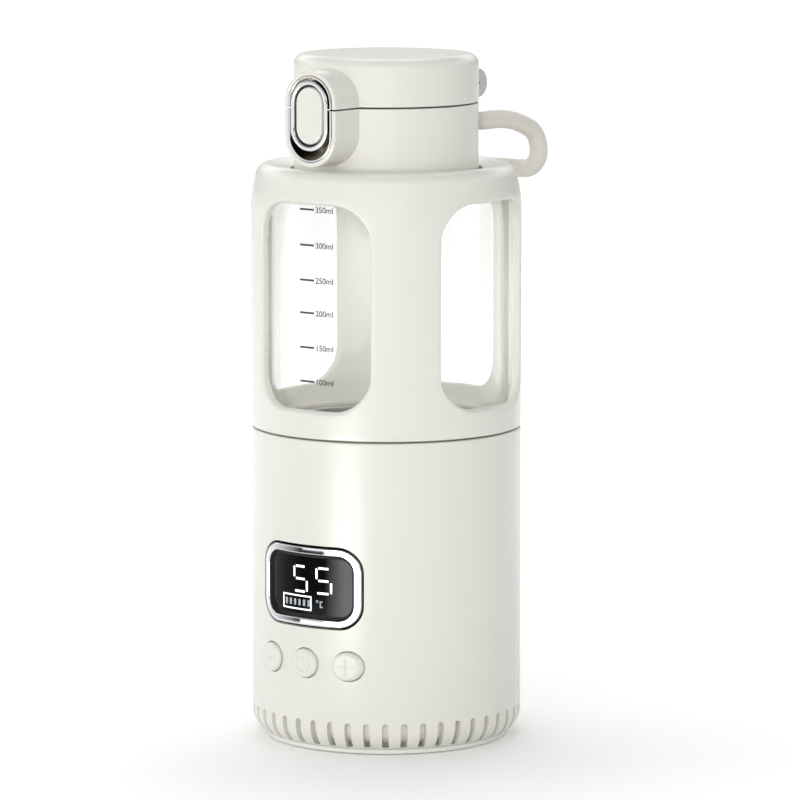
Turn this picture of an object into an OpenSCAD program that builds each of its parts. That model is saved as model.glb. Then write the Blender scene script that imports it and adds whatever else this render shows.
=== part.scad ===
// Electric heating cup: a battery base with a heating pan, a glass cup in a windowed sleeve,
// and a screw lid with a flip cap, a rocker latch and a carry loop.
// Millimetres. Origin at the middle of the underside, +Z up, the front faces -Y.

/* [Base] */
// Outside diameter of the base and the sleeve
body_d = 89.2; // [88:0.1:91]
// Floor to the seam between the base and the sleeve
base_h = 103.4; // [102:0.1:108]
// Base wall thickness
base_wall = 2.6; // [2.4:0.1:2.7]
// Rounding of the lower edge of the base
base_round = 8.2; // [7.5:0.1:9]
// How much of that rounding the bottom cover cuts away
base_round_cut = 1.2; // [0.8:0.1:1.6]
// Chamfer along both sides of the seam
seam_chamfer = 0.6; // [0.3:0.1:1]
// Number of vent slots round the lower edge
vent_count = 45; // [30:1:48]
// Width of a vent slot
vent_w = 2.2; // [1.6:0.1:2.6]
// Top of the vent slots above the lower edge of the base
vent_h = 8.6; // [6:0.1:9.5]
// Rim left under the vent slots
vent_rim = 0.9; // [0.7:0.1:1.4]

/* [Bottom cover] */
// Height of the rim that shows under the base
cover_rim_h = 1.4; // [1:0.1:2]
// How far the rim is set in from the edge of the base
cover_inset = 0.5; // [0.2:0.1:1]
// Depth of the spigot inside the base
cover_spigot_h = 2; // [1.5:0.1:2.6]
// Lip of the base round the spigot
cover_lip = 3.5; // [3:0.1:4.5]
// Rim of the cover round the non-slip pad
pad_margin = 3; // [2:0.1:4]
// Thickness of the non-slip pad
pad_h = 1.6; // [1.2:0.1:1.8]
// How far the pad stands below the cover
pad_stand = 0.6; // [0.4:0.1:0.9]
// Cover screws inside the edge of the pad
screw_in = 3; // [2.9:0.1:3.6]
// Screw boss diameter
screw_boss_d = 6.8; // [6:0.1:7]
// Height of the screw bosses in the base
screw_boss_h = 10; // [8:0.5:11]
// Cover screw thread diameter
screw_d = 3; // [2.5:0.1:3.2]
// Cover screw head diameter
screw_head_d = 5.4; // [5:0.1:5.6]
// Cover screw head height
screw_head_h = 1.6; // [1.2:0.1:2]
// Cover post height above the spigot
post_h = 8; // [7:0.5:9]

/* [Battery] */
// Battery cell diameter
cell_d = 18.5; // [18:0.1:18.7]
// Battery cell height
cell_h = 65.2; // [60:0.1:66]
// Distance between neighbouring cells
cell_pitch = 20.6; // [20.5:0.1:22]
// The battery stands this far behind the middle
cell_back = 3; // [1:0.5:4]
// Wall of the cell holders round a cell
holder_wall = 0.75; // [0.6:0.05:0.9]
// Depth of a cell in its holder
holder_grip = 7; // [5:0.5:9]
// Plate thickness of the cell holders
holder_plate = 3; // [2:0.1:3.4]
// Diameter of the post between the two holders
holder_post_d = 8; // [6:0.5:9]

/* [Heating deck] */
// Deck floor below the seam
deck_drop = 15.1; // [14.5:0.1:16]
// Deck floor thickness
deck_floor = 2; // [1.6:0.1:2.4]
// Deck outer wall thickness
deck_wall = 1.2; // [1:0.1:1.3]
// Room for the seal round the pan
seal_room = 2; // [1.9:0.1:2.4]
// Thickness of the wall round the pan
pan_seat_wall = 1.4; // [1.2:0.1:1.6]
// Wire hole in the deck floor
deck_hole_d = 24; // [18:1:30]
// Wire hole in the heat shield
shield_hole_d = 16; // [10:1:24]
// Pan depth
pan_depth = 5.5; // [4.5:0.1:6]
// Pan rim above the seam
pan_rise = 2.4; // [2:0.1:3]
// Pan sheet thickness
pan_sheet = 0.9; // [0.7:0.1:1]
// Gap between the edge of the heater plate and the pan wall
heater_margin = 2.9; // [2:0.1:5]
// Heater plate thickness
heater_h = 4; // [3:0.1:4.4]
// Heat shield thickness
shield_h = 1.6; // [1:0.1:2]

/* [Cup thread] */
// Lead of the three start cup thread
cup_lead = 12; // [11.4:0.3:12.6]
// Length of one cup thread ridge in degrees
cup_ridge_deg = 100; // [80:5:110]
// Distance from the seam down to the top of the lower ridges
cup_thread_drop = 1.2; // [0.9:0.1:1.6]
// Wall of the ring that screws into the base
seat_wall = 1.3; // [1.1:0.05:1.3]
// Depth of that ring below the seam
seat_drop = 9.4; // [8.4:0.1:10]
// Flange of that ring, under the glass
seat_flange_h = 1.8; // [1.4:0.1:2.2]

/* [Sleeve] */
// Seam to the top of the sleeve
sleeve_h = 87.3; // [86:0.1:90]
// Sleeve wall thickness
sleeve_wall = 3; // [2.8:0.1:3.2]
// Rounding of the sleeve shoulder
shoulder_r = 4.2; // [3.8:0.1:4.8]
// Distance from the outside of the sleeve in to the crest of the shoulder
shoulder_in = 5.6; // [5.2:0.1:7]
// Height of the part under the crest that leans inward
taper_h = 11.4; // [9:0.1:13]
// Dip of the top from the shoulder to the lip round the collar
lip_drop = 1.4; // [0.8:0.1:1.8]
// Thickness of that lip
lip_t = 2.4; // [2:0.1:3]
// Gap between the sleeve lip and the collar
lid_clear = 1.2; // [0.8:0.1:1.6]
// Half width of a window in degrees
window_half_deg = 29; // [25:0.5:31]
// Lower edge of the windows above the seam
window_low = 9.6; // [8:0.1:12]
// Height of the windows
window_h = 67; // [60:0.1:68]
// Corner radius of the windows
window_corner = 12; // [8:0.5:14]

/* [Glass] */
// Gap between the glass and the sleeve
glass_gap = 1.2; // [1.1:0.1:1.5]
// Glass wall thickness
glass_wall = 2.3; // [2.2:0.1:2.5]
// Outside rounding of the glass shoulder
glass_round = 6.4; // [5.5:0.1:7]
// Room for the lid thread round the neck ring
neck_room = 1.55; // [1.4:0.05:1.7]
// Rim of the glass above the top of the sleeve
neck_rise = 10.4; // [9.5:0.1:10.5]
// Wall of the threaded neck ring
neck_ring_wall = 1.35; // [1.2:0.05:1.4]
// Flange of the neck ring under the sleeve
neck_flange_h = 1.2; // [1:0.1:1.3]
// How far that flange reaches under the sleeve
neck_flange_lap = 2.9; // [2:0.1:4]
// Silicone washer on the glass shoulder
washer_h = 0.7; // [0.5:0.1:0.8]

/* [Lid] */
// How far the collar and the flip cap are set in from the body
lid_step = 14.2; // [13.4:0.1:14.8]
// Collar wall thickness
collar_wall = 2.4; // [2.2:0.1:2.4]
// Top of the collar above the top of the sleeve
collar_rise = 19.8; // [19:0.1:20]
// How far the collar dips below the top of the sleeve
collar_dip = 2.1; // [1.6:0.1:2.4]
// Lip that holds the liner in the collar
collar_lip = 1.1; // [0.8:0.1:1.2]
// Liner wall thickness
liner_wall = 1.4; // [1.3:0.05:1.5]
// Liner plate thickness
liner_plate = 2; // [1.6:0.1:2.2]
// Lid seal thickness
lid_seal_h = 2; // [1.8:0.1:2.2]
// Lead of the two start lid thread
lid_lead = 8; // [7.6:0.2:8.4]
// Length of one lid thread ridge in degrees
lid_ridge_deg = 150; // [120:5:160]
// Bore of the pouring spout
spout_bore_d = 18; // [15:0.5:19]
// Spout wall thickness
spout_wall = 2; // [1.6:0.1:2.4]
// Spout height above the liner plate
spout_h = 11; // [9:0.1:11.4]
// Air hole in the liner plate
air_hole_d = 2.4; // [1.6:0.1:3]

/* [Flip cap] */
// Height of the flip cap
cap_h = 15.7; // [15.2:0.1:16.4]
// Flip cap wall thickness
cap_wall = 2.2; // [1.8:0.1:2.4]
// Rounding of the top edge of the flip cap
cap_round = 3.4; // [2.6:0.1:4]
// Gap between the collar and the flip cap
split_gap = 0.5; // [0.4:0.05:0.7]
// Thickness of the disc inside the flip cap
cap_disc_h = 2; // [1.6:0.1:2.4]
// Diameter of the silicone stopper
stopper_d = 25; // [22:0.5:26]

/* [Hinge] */
// Hinge axis outside the collar
hinge_out = 0.9; // [0.6:0.1:1.4]
// Hinge axis above the top of the collar
hinge_rise = 5.1; // [5:0.1:5.6]
// Diameter of the hinge barrel
barrel_d = 9.5; // [9:0.1:9.5]
// Half length of the hinge barrel with its end caps
barrel_half = 15.2; // [14.6:0.1:15.3]
// Thickness of an end cap
end_cap_h = 1; // [0.8:0.1:1.2]
// Half length of the middle knuckle on the collar
knuckle_half = 6; // [5:0.1:6.2]
// Half width of the notch in the flip cap
notch_half = 8.9; // [8.6:0.1:9.2]
// Hinge pin diameter
hinge_pin_d = 2.5; // [2:0.1:2.8]
// Hinge spring wire diameter
hinge_wire_d = 0.6; // [0.5:0.05:0.65]
// Turns of a hinge spring
hinge_turns = 2; // [1:1:2]

/* [Latch] */
// Width of the boss on the front of the lid
boss_w = 20.6; // [20.2:0.1:21]
// Bottom of the boss above the top of the sleeve
boss_low = 0.4; // [0.3:0.1:0.8]
// Top of the boss above the top of the collar
boss_up = 12.6; // [12.2:0.1:12.8]
// Width of the boss that is left round the recess
boss_rim = 1.6; // [1.4:0.05:1.7]
// Back of the recess outside the collar
recess_out = 1.1; // [0.9:0.1:1.3]
// Front of the boss outside the back of the recess
boss_depth = 10.2; // [9.6:0.1:10.6]
// Thickness of the bright recess liner
trim_t = 0.75; // [0.6:0.05:0.8]
// How far the rocker ring stands out of the boss
rocker_proud = 1.3; // [1:0.1:1.6]
// Bottom of the rocker ring above the top of the sleeve
rocker_low = 6.4; // [6:0.1:6.8]
// Depth of the rocker ring
rocker_ring_h = 2.8; // [2.2:0.1:3]
// Width of the rocker face
rocker_face_w = 10; // [9:0.1:10.4]
// Depth of the lever behind the rocker ring
lever_h = 2.7; // [2:0.1:3]
// Latch pin below the top of the collar
latch_pin_drop = 4.4; // [4:0.1:4.8]
// Latch pin outside the back of the recess
latch_pin_out = 3.1; // [3:0.1:3.3]
// Latch pin diameter
latch_pin_d = 1.6; // [1.2:0.1:1.8]
// Hub of the lever round the latch pin
latch_hub_d = 3.8; // [3.4:0.1:3.8]
// Latch spring wire diameter
latch_wire_d = 0.5; // [0.4:0.05:0.6]
// Turns of the latch spring
latch_turns = 4; // [3:1:4]
// Latch spring diameter
latch_coil_d = 4; // [3.6:0.1:4.4]

/* [Carry loop] */
// Thickness of the loop
loop_d = 6.1; // [5.6:0.1:6.2]
// Distance of a loop arm from the middle plane
loop_half = 19.1; // [19:0.1:19.6]
// Gap between the end of the loop and the collar
loop_clear = 0.36; // [0.3:0.02:0.6]
// Loop pivot above the top of the sleeve
loop_rise = 12.8; // [12:0.1:13.2]
// Straight part of an arm
loop_straight = 6.8; // [5:0.1:8]
// Radius of the slow bend of an arm
loop_bend_r = 50; // [45:1:55]
// Angle of the slow bend
loop_bend_deg = 24; // [18:1:28]
// Radius of the quick bend at the end of an arm
loop_drop_r = 9; // [8:0.1:10]
// Radius of the lower corners
loop_corner_r = 6; // [5:0.1:7]
// Loop pin diameter
loop_pin_d = 2.4; // [2:0.1:2.6]
// Thickness of a loop lug on the collar
loop_lug_w = 3; // [2.6:0.1:3]

/* [Display] */
// Middle of the display above the floor
display_z = 55.4; // [53:0.1:57]
// Width of the display frame
display_w = 39; // [37:0.1:41]
// Height of the display frame
display_h = 25.8; // [24:0.1:27]
// Corner radius of the display frame
display_corner = 7.4; // [6.5:0.1:8.5]
// Width of the bright band of the frame
display_band = 2.7; // [2.2:0.1:3.2]
// How far the frame stands out of the base
display_proud = 0.2; // [0.1:0.1:0.8]
// Width of the groove round the frame
display_groove = 0.8; // [0.4:0.1:1]
// Depth of the frame behind the surface of the base
display_set = 1.1; // [0.8:0.1:1.2]
// Thickness of the dark lens
lens_t = 1.3; // [1:0.1:1.4]

/* [Buttons] */
// Middle of the buttons above the floor
button_z = 30; // [28:0.1:31]
// Distance between neighbouring buttons
button_step = 15.45; // [14.8:0.05:16]
// Width of a button
button_w = 9.8; // [9.4:0.1:11]
// Height of a button
button_h = 9.6; // [8.8:0.1:9.8]
// How far a button stands out of the base
button_proud = 1.6; // [1:0.1:2]
// Press travel of a button
button_travel = 0.8; // [0.6:0.1:0.9]
// Width of the flange behind a button
button_flange = 1.5; // [1:0.1:1.6]

/* [Control board] */
// Gap between the edges of the control board and the base wall
board_margin = 5.2; // [4.4:0.1:8]
// Front face of the control board from the middle
board_front = 26; // [25.6:0.1:26.4]
// Board thickness
board_t = 1.6; // [1.2:0.1:1.8]
// Lower edge of the control board
board_low = 24; // [23:0.5:24.5]
// Height of the control board
board_h = 46; // [44:0.5:48]
// Height of a switch on the board
switch_h = 5; // [4.5:0.1:5.5]

/* [Charge socket] */
// Middle of the charge socket above the floor
socket_z = 23.5; // [22:0.1:26]
// Width of the charge socket
socket_w = 9; // [8.8:0.1:9.2]
// Height of the charge socket
socket_h = 3.3; // [3.1:0.1:3.4]
// Length of the charge socket
socket_len = 6.8; // [6:0.1:7]

/* [Fits] */
// Gap between pieces of one assembly
seat_gap = 0.1; // [0.05:0.01:0.15]
// Gap between pieces that move against each other
move_gap = 0.3; // [0.25:0.05:0.4]
// Radial gap of a pin in its bore
pin_gap = 0.05; // [0.03:0.01:0.08]
// Side gap of the rocker in its recess
rocker_gap = 0.2; // [0.15:0.05:0.3]
// Radial gap between matching thread ridges and walls
thread_gap = 0.5; // [0.4:0.05:0.6]

/* [Hidden] */
$fn = 128;

// Base
body_r = body_d / 2;
base_in_r = body_r - base_wall;
base_z = pad_stand + cover_rim_h;
round_z = base_z + base_round - base_round_cut;
round_r = body_r - base_round;
edge_r = round_r + sqrt(base_round * base_round - (round_z - base_z) * (round_z - base_z));
cover_open_r = edge_r - cover_lip;
pad_r = cover_open_r - pad_margin;
screw_ring_r = pad_r - screw_in;
spigot_top = base_z + cover_spigot_h;
vent_in = 0.7;
vent_start = cover_open_r + vent_in;
vent_reach = base_round + cover_lip;
vent_straight = vent_h - vent_w / 2 - vent_rim;
ledge_t = 2;
ledge_w = 2.2;
rib_w = 2;
screw_angles = [15, 165, 225, 315];
thread_depth = 0.25;
screw_core_d = screw_d - 2 * thread_depth;
screw_boss_z = spigot_top + post_h + seat_gap;
screw_short = 2;
screw_end = screw_boss_z + screw_boss_h - screw_short;

// Battery
cell_r = cell_d / 2;
cell_ring = cell_pitch / sqrt(2);
cell_tip_d = 6;
cell_tip_h = 0.8;
tray_z = spigot_top + seat_gap;
cell_z = tray_z + holder_plate + seat_gap;
holder_in = cell_r + 2 * seat_gap;
holder_r = holder_in + holder_wall;
holder_top = cell_z + cell_h + cell_tip_h + seat_gap;

// Controls
frame_r = body_r + display_proud;
frame_back = body_r - display_set;
lens_r = frame_back - seat_gap;
lens_back = lens_r - lens_t;
module_side = 4.6;
module_edge = 2.6;
module_half_w = display_w / 2 - module_side;
module_half_h = display_h / 2 - module_edge;
module_front = sqrt(lens_back * lens_back - module_half_w * module_half_w) - move_gap;
flange_r = base_in_r - move_gap;
flange_t = 1.3;
flange_room = button_flange + 2 * move_gap;
switch_w = 6;
switch_body = 3.4;
plunger_d = 3.4;
switch_front = board_front + switch_h;
stem_end = switch_front + button_travel + seat_gap;
stem_d = 4;
rail_t = 3.4;
rail_grip = 1;
board_back = board_t - board_front;
board_half = sqrt(base_in_r * base_in_r - board_front * board_front) - board_margin;
part_side = 9;
part_x = board_half - part_side;
low_row = 14;
high_row = 28;
part_low = board_low + low_row;
part_high = board_low + high_row;
chip_w = 8;
chip_h = 3;
choke_w = 9;
choke_h = 4.5;
driver_w = 6;
driver_h = 2;
can_d = 7;
can_h = 5;

// Charge socket
shelf_t = 1.6;
charge_board_t = 1.2;
charge_board_lap = 0.6;
shelf_z = socket_z - socket_h / 2 - charge_board_t - 2 * seat_gap;
socket_set = 0.6;
socket_front = body_r - socket_set;
socket_back = socket_front - socket_len;
charge_board_y = socket_back - charge_board_lap;
socket_skin = 0.35;
socket_end = 1;
tongue_t = 0.8;
tongue_side = 1.25;
tongue_w = socket_w - 2 * tongue_side;

// Sleeve and glass
sleeve_z = base_h + split_gap;
sleeve_top = base_h + sleeve_h;
sleeve_in_r = body_r - sleeve_wall;
shoulder_mid_r = body_r - shoulder_in;
shoulder_mid_z = sleeve_top - shoulder_r;
taper_z = sleeve_top - taper_h;
taper_rise = shoulder_mid_z - taper_z;
taper_reach = sqrt(shoulder_in * shoulder_in + taper_rise * taper_rise);
taper_end_deg = acos(shoulder_r / taper_reach) - atan2(taper_rise, shoulder_in);
taper_end = [shoulder_mid_r + shoulder_r * cos(taper_end_deg),
  shoulder_mid_z + shoulder_r * sin(taper_end_deg)];
hollow_r = 0.6 * sleeve_wall;
lip_z = sleeve_top - lip_drop;
lip_flat = 1;
ceiling_z = lip_z - lip_t;
glass_r = sleeve_in_r - glass_gap;
glass_in = glass_r - glass_wall;

// Heating deck
deck_set = 0.5;
deck_z = base_h - deck_drop;
deck_top = base_h - deck_set;
deck_r = base_in_r - seat_gap;
deck_in_r = deck_r - deck_wall;
pan_seat_r = glass_in - seal_room;
pan_seat_in = pan_seat_r - pan_seat_wall;
pan_top = base_h + pan_rise;
pan_r = pan_seat_in - 2 * seat_gap;
pan_floor_z = pan_top - pan_depth - pan_sheet;
pan_rim_r = pan_seat_r + seat_gap;
pan_bend = 2;
pan_bend_in = 2.4;
heater_r = pan_r - heater_margin;
heater_z = pan_floor_z - seat_gap - heater_h;
shield_z = deck_z + deck_floor + seat_gap;
sense_top = heater_z - seat_gap;
sense_z = shield_z + shield_h + seat_gap;
sensor_d = 6;
cutout_d = 11;
cutout_side = 14;
cutout_x = heater_r - cutout_side;
cup_seal_h = 6.4;
cup_seal_rise = 1;
cup_seal_top = pan_top + cup_seal_rise;
cup_seal_r = glass_in - 1.5 * seat_gap;
cup_seal_in = pan_rim_r + 2 * seat_gap;

// Cup thread
seat_r = glass_in + seat_wall;
seat_top = sleeve_z + 2 * seat_gap + seat_flange_h;
seat_flange_r = sleeve_in_r - seat_gap;
glass_z = seat_top + seat_gap;
ridge_root = 0.9;
ridge_crest = 0.35;
ridge_sink = 0.2;
cup_pitch = cup_lead / 3;
deck_ridge_top = deck_top - cup_thread_drop;
deck_ridge_z = deck_ridge_top - cup_lead * cup_ridge_deg / 360;
seat_ridge_z = deck_ridge_z - cup_pitch / 2;
seat_ridge_r = deck_in_r - thread_gap;
deck_ridge_r = seat_r + thread_gap;

// Lid and neck
lid_r = body_r - lid_step;
sleeve_open_r = lid_r + lid_clear;
collar_in = lid_r - collar_wall;
collar_mid = (collar_in + lid_r) / 2;
collar_z = sleeve_top - collar_dip;
collar_top = sleeve_top + collar_rise;
lip_h = 0.8;
liner_r = collar_in - seat_gap;
liner_in = liner_r - liner_wall;
neck_ring_r = liner_in - neck_room;
neck_ring_in = neck_ring_r - neck_ring_wall;
neck_r = neck_ring_in - seat_gap;
neck_top = sleeve_top + neck_rise;
neck_short = 0.4;
neck_ring_top = neck_top - neck_short;
neck_flange_r = sleeve_open_r + neck_flange_lap;
neck_flange_top = ceiling_z - seat_gap;
neck_ring_z = neck_flange_top - neck_flange_h;
washer_step = 2;
washer_in = neck_ring_in + washer_step;
washer_z = neck_ring_z - washer_h - seat_gap;
glass_top = washer_z - seat_gap / 2;
glass_round_r = glass_r - glass_round;
glass_round_z = glass_top - glass_round;
lid_seal_z = neck_top + 2 * seat_gap;
seal_lap = 0.6;
lid_seal_in = neck_r - glass_wall - seal_lap;
liner_z = collar_z + lip_h + seat_gap;
liner_ceiling = lid_seal_z + lid_seal_h + 2 * seat_gap;
liner_top = liner_ceiling + liner_plate;
spout_r = spout_bore_d / 2;
spout_out = spout_r + spout_wall;
spout_top = liner_top + spout_h;
neck_ridge_r = liner_in - thread_gap;
liner_ridge_r = neck_ring_r + thread_gap;
lid_pitch = lid_lead / 2;
liner_ridge_z = liner_z + ridge_root + seat_gap;
neck_ridge_z = liner_ridge_z + lid_pitch / 2;

// Flip cap
cap_z = collar_top + split_gap;
cap_top = cap_z + cap_h;
cap_in_r = lid_r - cap_wall;
cap_ceiling = cap_top - cap_wall;
cap_round_r = lid_r - cap_round;
cap_round_z = cap_top - cap_round;
disc_step = 4;
disc_r = cap_in_r - disc_step;
disc_z = cap_ceiling - seat_gap - cap_disc_h;
stopper_z = spout_top + move_gap;
stopper_h = disc_z - seat_gap - stopper_z;
stopper_r = stopper_d / 2;
plug_step = 1.6;
plug_r = spout_r - plug_step;
plug_h = 2;
spigot_step = 2;
spigot_out = stopper_r - spigot_step;
spigot_in = spigot_out - spigot_step;
spigot_z = disc_z - stopper_h / 2;

// Hinge
hinge_back = lid_r + hinge_out;
hinge_z = collar_top + hinge_rise;
barrel_r = barrel_d / 2;
knuckle_end = barrel_half - end_cap_h;
knuckle_root = 4;
knuckle_block = 6.5;
notch_depth = 4;
notch_top = hinge_z + barrel_r + 2 * move_gap;
end_cap_d = barrel_d - 2 * seat_gap;

// Latch
recess_back = lid_r + recess_out;
boss_front = recess_back + boss_depth;
boss_z0 = sleeve_top + boss_low;
boss_z1 = collar_top + boss_up;
boss_mid = (boss_z0 + boss_z1) / 2;
recess_w = boss_w - 2 * boss_rim;
recess_h = boss_z1 - boss_z0 - 2 * boss_rim;
trim_w = recess_w - seat_gap;
trim_h = recess_h - seat_gap;
trim_set = 0.3;
trim_front = boss_front - trim_set;
trim_back = recess_back + seat_gap;
trim_face = trim_back + trim_t;
rocker_front = boss_front + rocker_proud;
rocker_w = trim_w - 2 * trim_t - 2 * rocker_gap;
rocker_z0 = sleeve_top + rocker_low;
rocker_z1 = boss_z1 - boss_rim - trim_t - rocker_gap;
rocker_mid = (rocker_z0 + rocker_z1) / 2;
rocker_back = rocker_front - rocker_ring_h;
face_inset = (rocker_w - rocker_face_w) / 2;
face_set = 0.2;
face_front = rocker_front - face_set;
latch_pin_front = recess_back + latch_pin_out;
latch_pin_z = collar_top - latch_pin_drop;
pin_set = 0.6;
latch_pin_half = boss_w / 2 - pin_set;
lever_back = rocker_back - lever_h;
lever_inset = 0.6;
lever_sink = 1;
lever_root = lever_back + lever_sink;
lever_web = 1.9;
hub_step = 1;
hub_half = rocker_w / 2 - hub_step;
hook_w = 8;
hook_t = 1.6;
hook_gap = 1.1;
hook_tip = trim_face + hook_gap;
hook_drop = 3.4;
hook_z = rocker_z1 - hook_drop;
catch_w = 9.2;
catch_h = 2;
catch_z = hook_z - move_gap - catch_h;
catch_front = hook_tip - move_gap;
catch_slot_w = 12;
catch_slot_gap = 0.4;
latch_spring_up = 3.6;
latch_spring_z = rocker_z0 + latch_spring_up;
latch_spring_back = trim_face + seat_gap;

// Carry loop
loop_r = loop_d / 2;
loop_z = sleeve_top + loop_rise;
loop_reach = lid_r + loop_r + loop_clear;
loop_back = sqrt(loop_reach * loop_reach - loop_half * loop_half);
lug_x1 = loop_half - loop_r - move_gap;
lug_mid = lug_x1 - loop_lug_w / 2;
lug_d = 6.4;
lug_root = 6;
loop_pin_in = lug_x1 - loop_lug_w + seat_gap;
loop_pin_grip = 1;
loop_pin_out = loop_half + loop_pin_grip;
bend_y = loop_back + loop_straight;
bend_end_y = bend_y + loop_bend_r * sin(loop_bend_deg);
bend_end_z = loop_z - loop_bend_r * (1 - cos(loop_bend_deg));
drop_y = bend_end_y - loop_drop_r * sin(loop_bend_deg);
drop_end_z = bend_end_z - loop_drop_r * cos(loop_bend_deg);
bar_y = drop_y + loop_drop_r;

// Straight tube round the cup axis
module tube(r0, r1, z0, z1) {
  translate([0, 0, z0]) difference() {
    cylinder(r = r1, h = z1 - z0);
    translate([0, 0, -1]) cylinder(r = r0, h = z1 - z0 + 2);
  }
}

// Flat shape with two round ends
module stadium(w, h) {
  r = min(w, h) / 2;
  union() {
    square([w - (w > h ? 2 * r : 0), h - (w > h ? 0 : 2 * r)], center = true);
    for (s = [-1, 1]) translate(w > h ? [s * (w / 2 - r), 0] : [0, s * (h / 2 - r)]) circle(r);
  }
}

// Flat rectangle with round corners
module round_rect(w, h, r) {
  union() {
    square([w - 2 * r, h], center = true);
    square([w, h - 2 * r], center = true);
    for (s = [-1, 1], t = [-1, 1]) translate([s * (w / 2 - r), t * (h / 2 - r)]) circle(r);
  }
}

// Flat shape pushed along Y, from near y0 to far y1, at height z
module along_y(y0, y1, x, z) {
  translate([x, y1, z]) rotate([90, 0, 0]) linear_extrude(y1 - y0) children();
}

// Rod along X
module along_x(d, x0, x1, y, z) {
  translate([x0, y, z]) rotate([0, 90, 0]) cylinder(d = d, h = x1 - x0);
}

// One corner of a thread ridge section
function ridge_point(a, r, z) = [r * cos(a), r * sin(a), z];

// Thread ridge on a wall of radius r0, with its crest at r1
module ridge(r0, r1, z0, lead, span, turn) {
  n = ceil(span / 7.5);
  wide = ridge_root;
  thin = ridge_crest;
  points = [for (i = [0 : n]) let (a = turn + span * i / n, z = z0 + lead * span * i / n / 360)
    each [ridge_point(a, r0, z - wide), ridge_point(a, r1, z - thin), ridge_point(a, r1, z + thin),
    ridge_point(a, r0, z + wide)]];
  sides = [for (i = [0 : n - 1], k = [0 : 3]) let (a = 4 * i + k, b = 4 * i + (k + 1) % 4)
    each [[a, a + 4, b], [b, a + 4, b + 4]]];
  ends = [[0, 1, 2], [0, 2, 3], [4 * n + 2, 4 * n + 1, 4 * n], [4 * n + 3, 4 * n + 2, 4 * n]];
  faces = [for (f = concat(sides, ends)) r1 > r0 ? [f[2], f[1], f[0]] : f];
  polyhedron(points = points, faces = faces, convexity = 6);
}

// Round tube through stations, each a place, two cross directions and a radius
module sweep(stations, sides) {
  n = len(stations);
  points = [for (p = stations, k = [0 : sides - 1])
    p[0] + p[3] * (cos(360 * k / sides) * p[1] + sin(360 * k / sides) * p[2])];
  skin = [for (i = [0 : n - 2], k = [0 : sides - 1])
    let (a = sides * i + k, b = sides * i + (k + 1) % sides)
    each [[a, a + sides, b], [b, a + sides, b + sides]]];
  first = [for (k = [0 : sides - 1]) k];
  last = [for (k = [0 : sides - 1]) sides * n - 1 - k];
  polyhedron(points = points, faces = concat(skin, [first, last]), convexity = 10);
}

// Coil spring along Z from 0 to length
module coil(d, wire, length, turns) {
  steps = 16;
  rings = turns * steps;
  r = (d - wire) / 2;
  line = [for (i = [0 : rings]) let (a = 360 * i / steps)
    [r * cos(a), r * sin(a), wire / 2 + (length - wire) * i / rings]];
  gap = min([for (i = [0 : rings - steps]) norm(line[i + steps] - line[i]) - wire]);
  echo(least_coil_gap = gap);
  sweep([for (i = [0 : rings]) let (a = 360 * i / steps)
    [line[i], [0, 0, 1], [cos(a), sin(a), 0], wire / 2]], 8);
}

// Base

module base_outline() {
  union() {
    translate([0, round_z]) square([body_r, base_h - seam_chamfer - round_z]);
    translate([0, base_z]) square([round_r, base_h - base_z]);
    translate([round_r, round_z]) circle(base_round);
    translate([0, round_z]) square([body_r - seam_chamfer, base_h - round_z]);
    polygon([[0, base_h], [body_r - seam_chamfer, base_h], [body_r, base_h - seam_chamfer],
      [0, base_h - seam_chamfer]]);
  }
}

module base_hollow() {
  r = base_round - base_wall;
  union() {
    translate([-1, round_z]) square([base_in_r + 1, base_h]);
    translate([-1, round_z - r]) square([round_r + 1, base_h]);
    translate([round_r, round_z]) circle(r);
    translate([-1, -1]) square([cover_open_r + 1, base_h]);
  }
}

module screw_places() {
  for (a = screw_angles) rotate([0, 0, a]) translate([screw_ring_r, 0, 0]) children();
}

module base_inside() {
  tube(base_in_r - ledge_w, base_in_r + seat_gap, deck_z - ledge_t - seat_gap, deck_z - seat_gap);
  intersection() {
    union() {
      screw_places() translate([0, 0, screw_boss_z]) {
        cylinder(d = screw_boss_d, h = screw_boss_h);
        translate([0, -rib_w / 2, 0]) cube([body_r - screw_ring_r, rib_w, screw_boss_h]);
      }
      difference() {
        for (s = [-1, 1])
          translate([s * (board_half + rail_grip) - rail_t / 2, -body_r, board_low - rail_grip])
            cube([rail_t, body_r + board_back + rail_t, board_h]);
        for (s = [-1, 1]) along_y(-base_in_r, -switch_front, s * button_step, button_z)
          stadium(button_w + 2 * flange_room, button_h + 2 * flange_room);
      }
      translate([-socket_w, charge_board_y, shelf_z - shelf_t]) cube([2 * socket_w, body_r, shelf_t]);
    }
    cylinder(r = base_in_r + seat_gap, h = base_h);
  }
}

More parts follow.
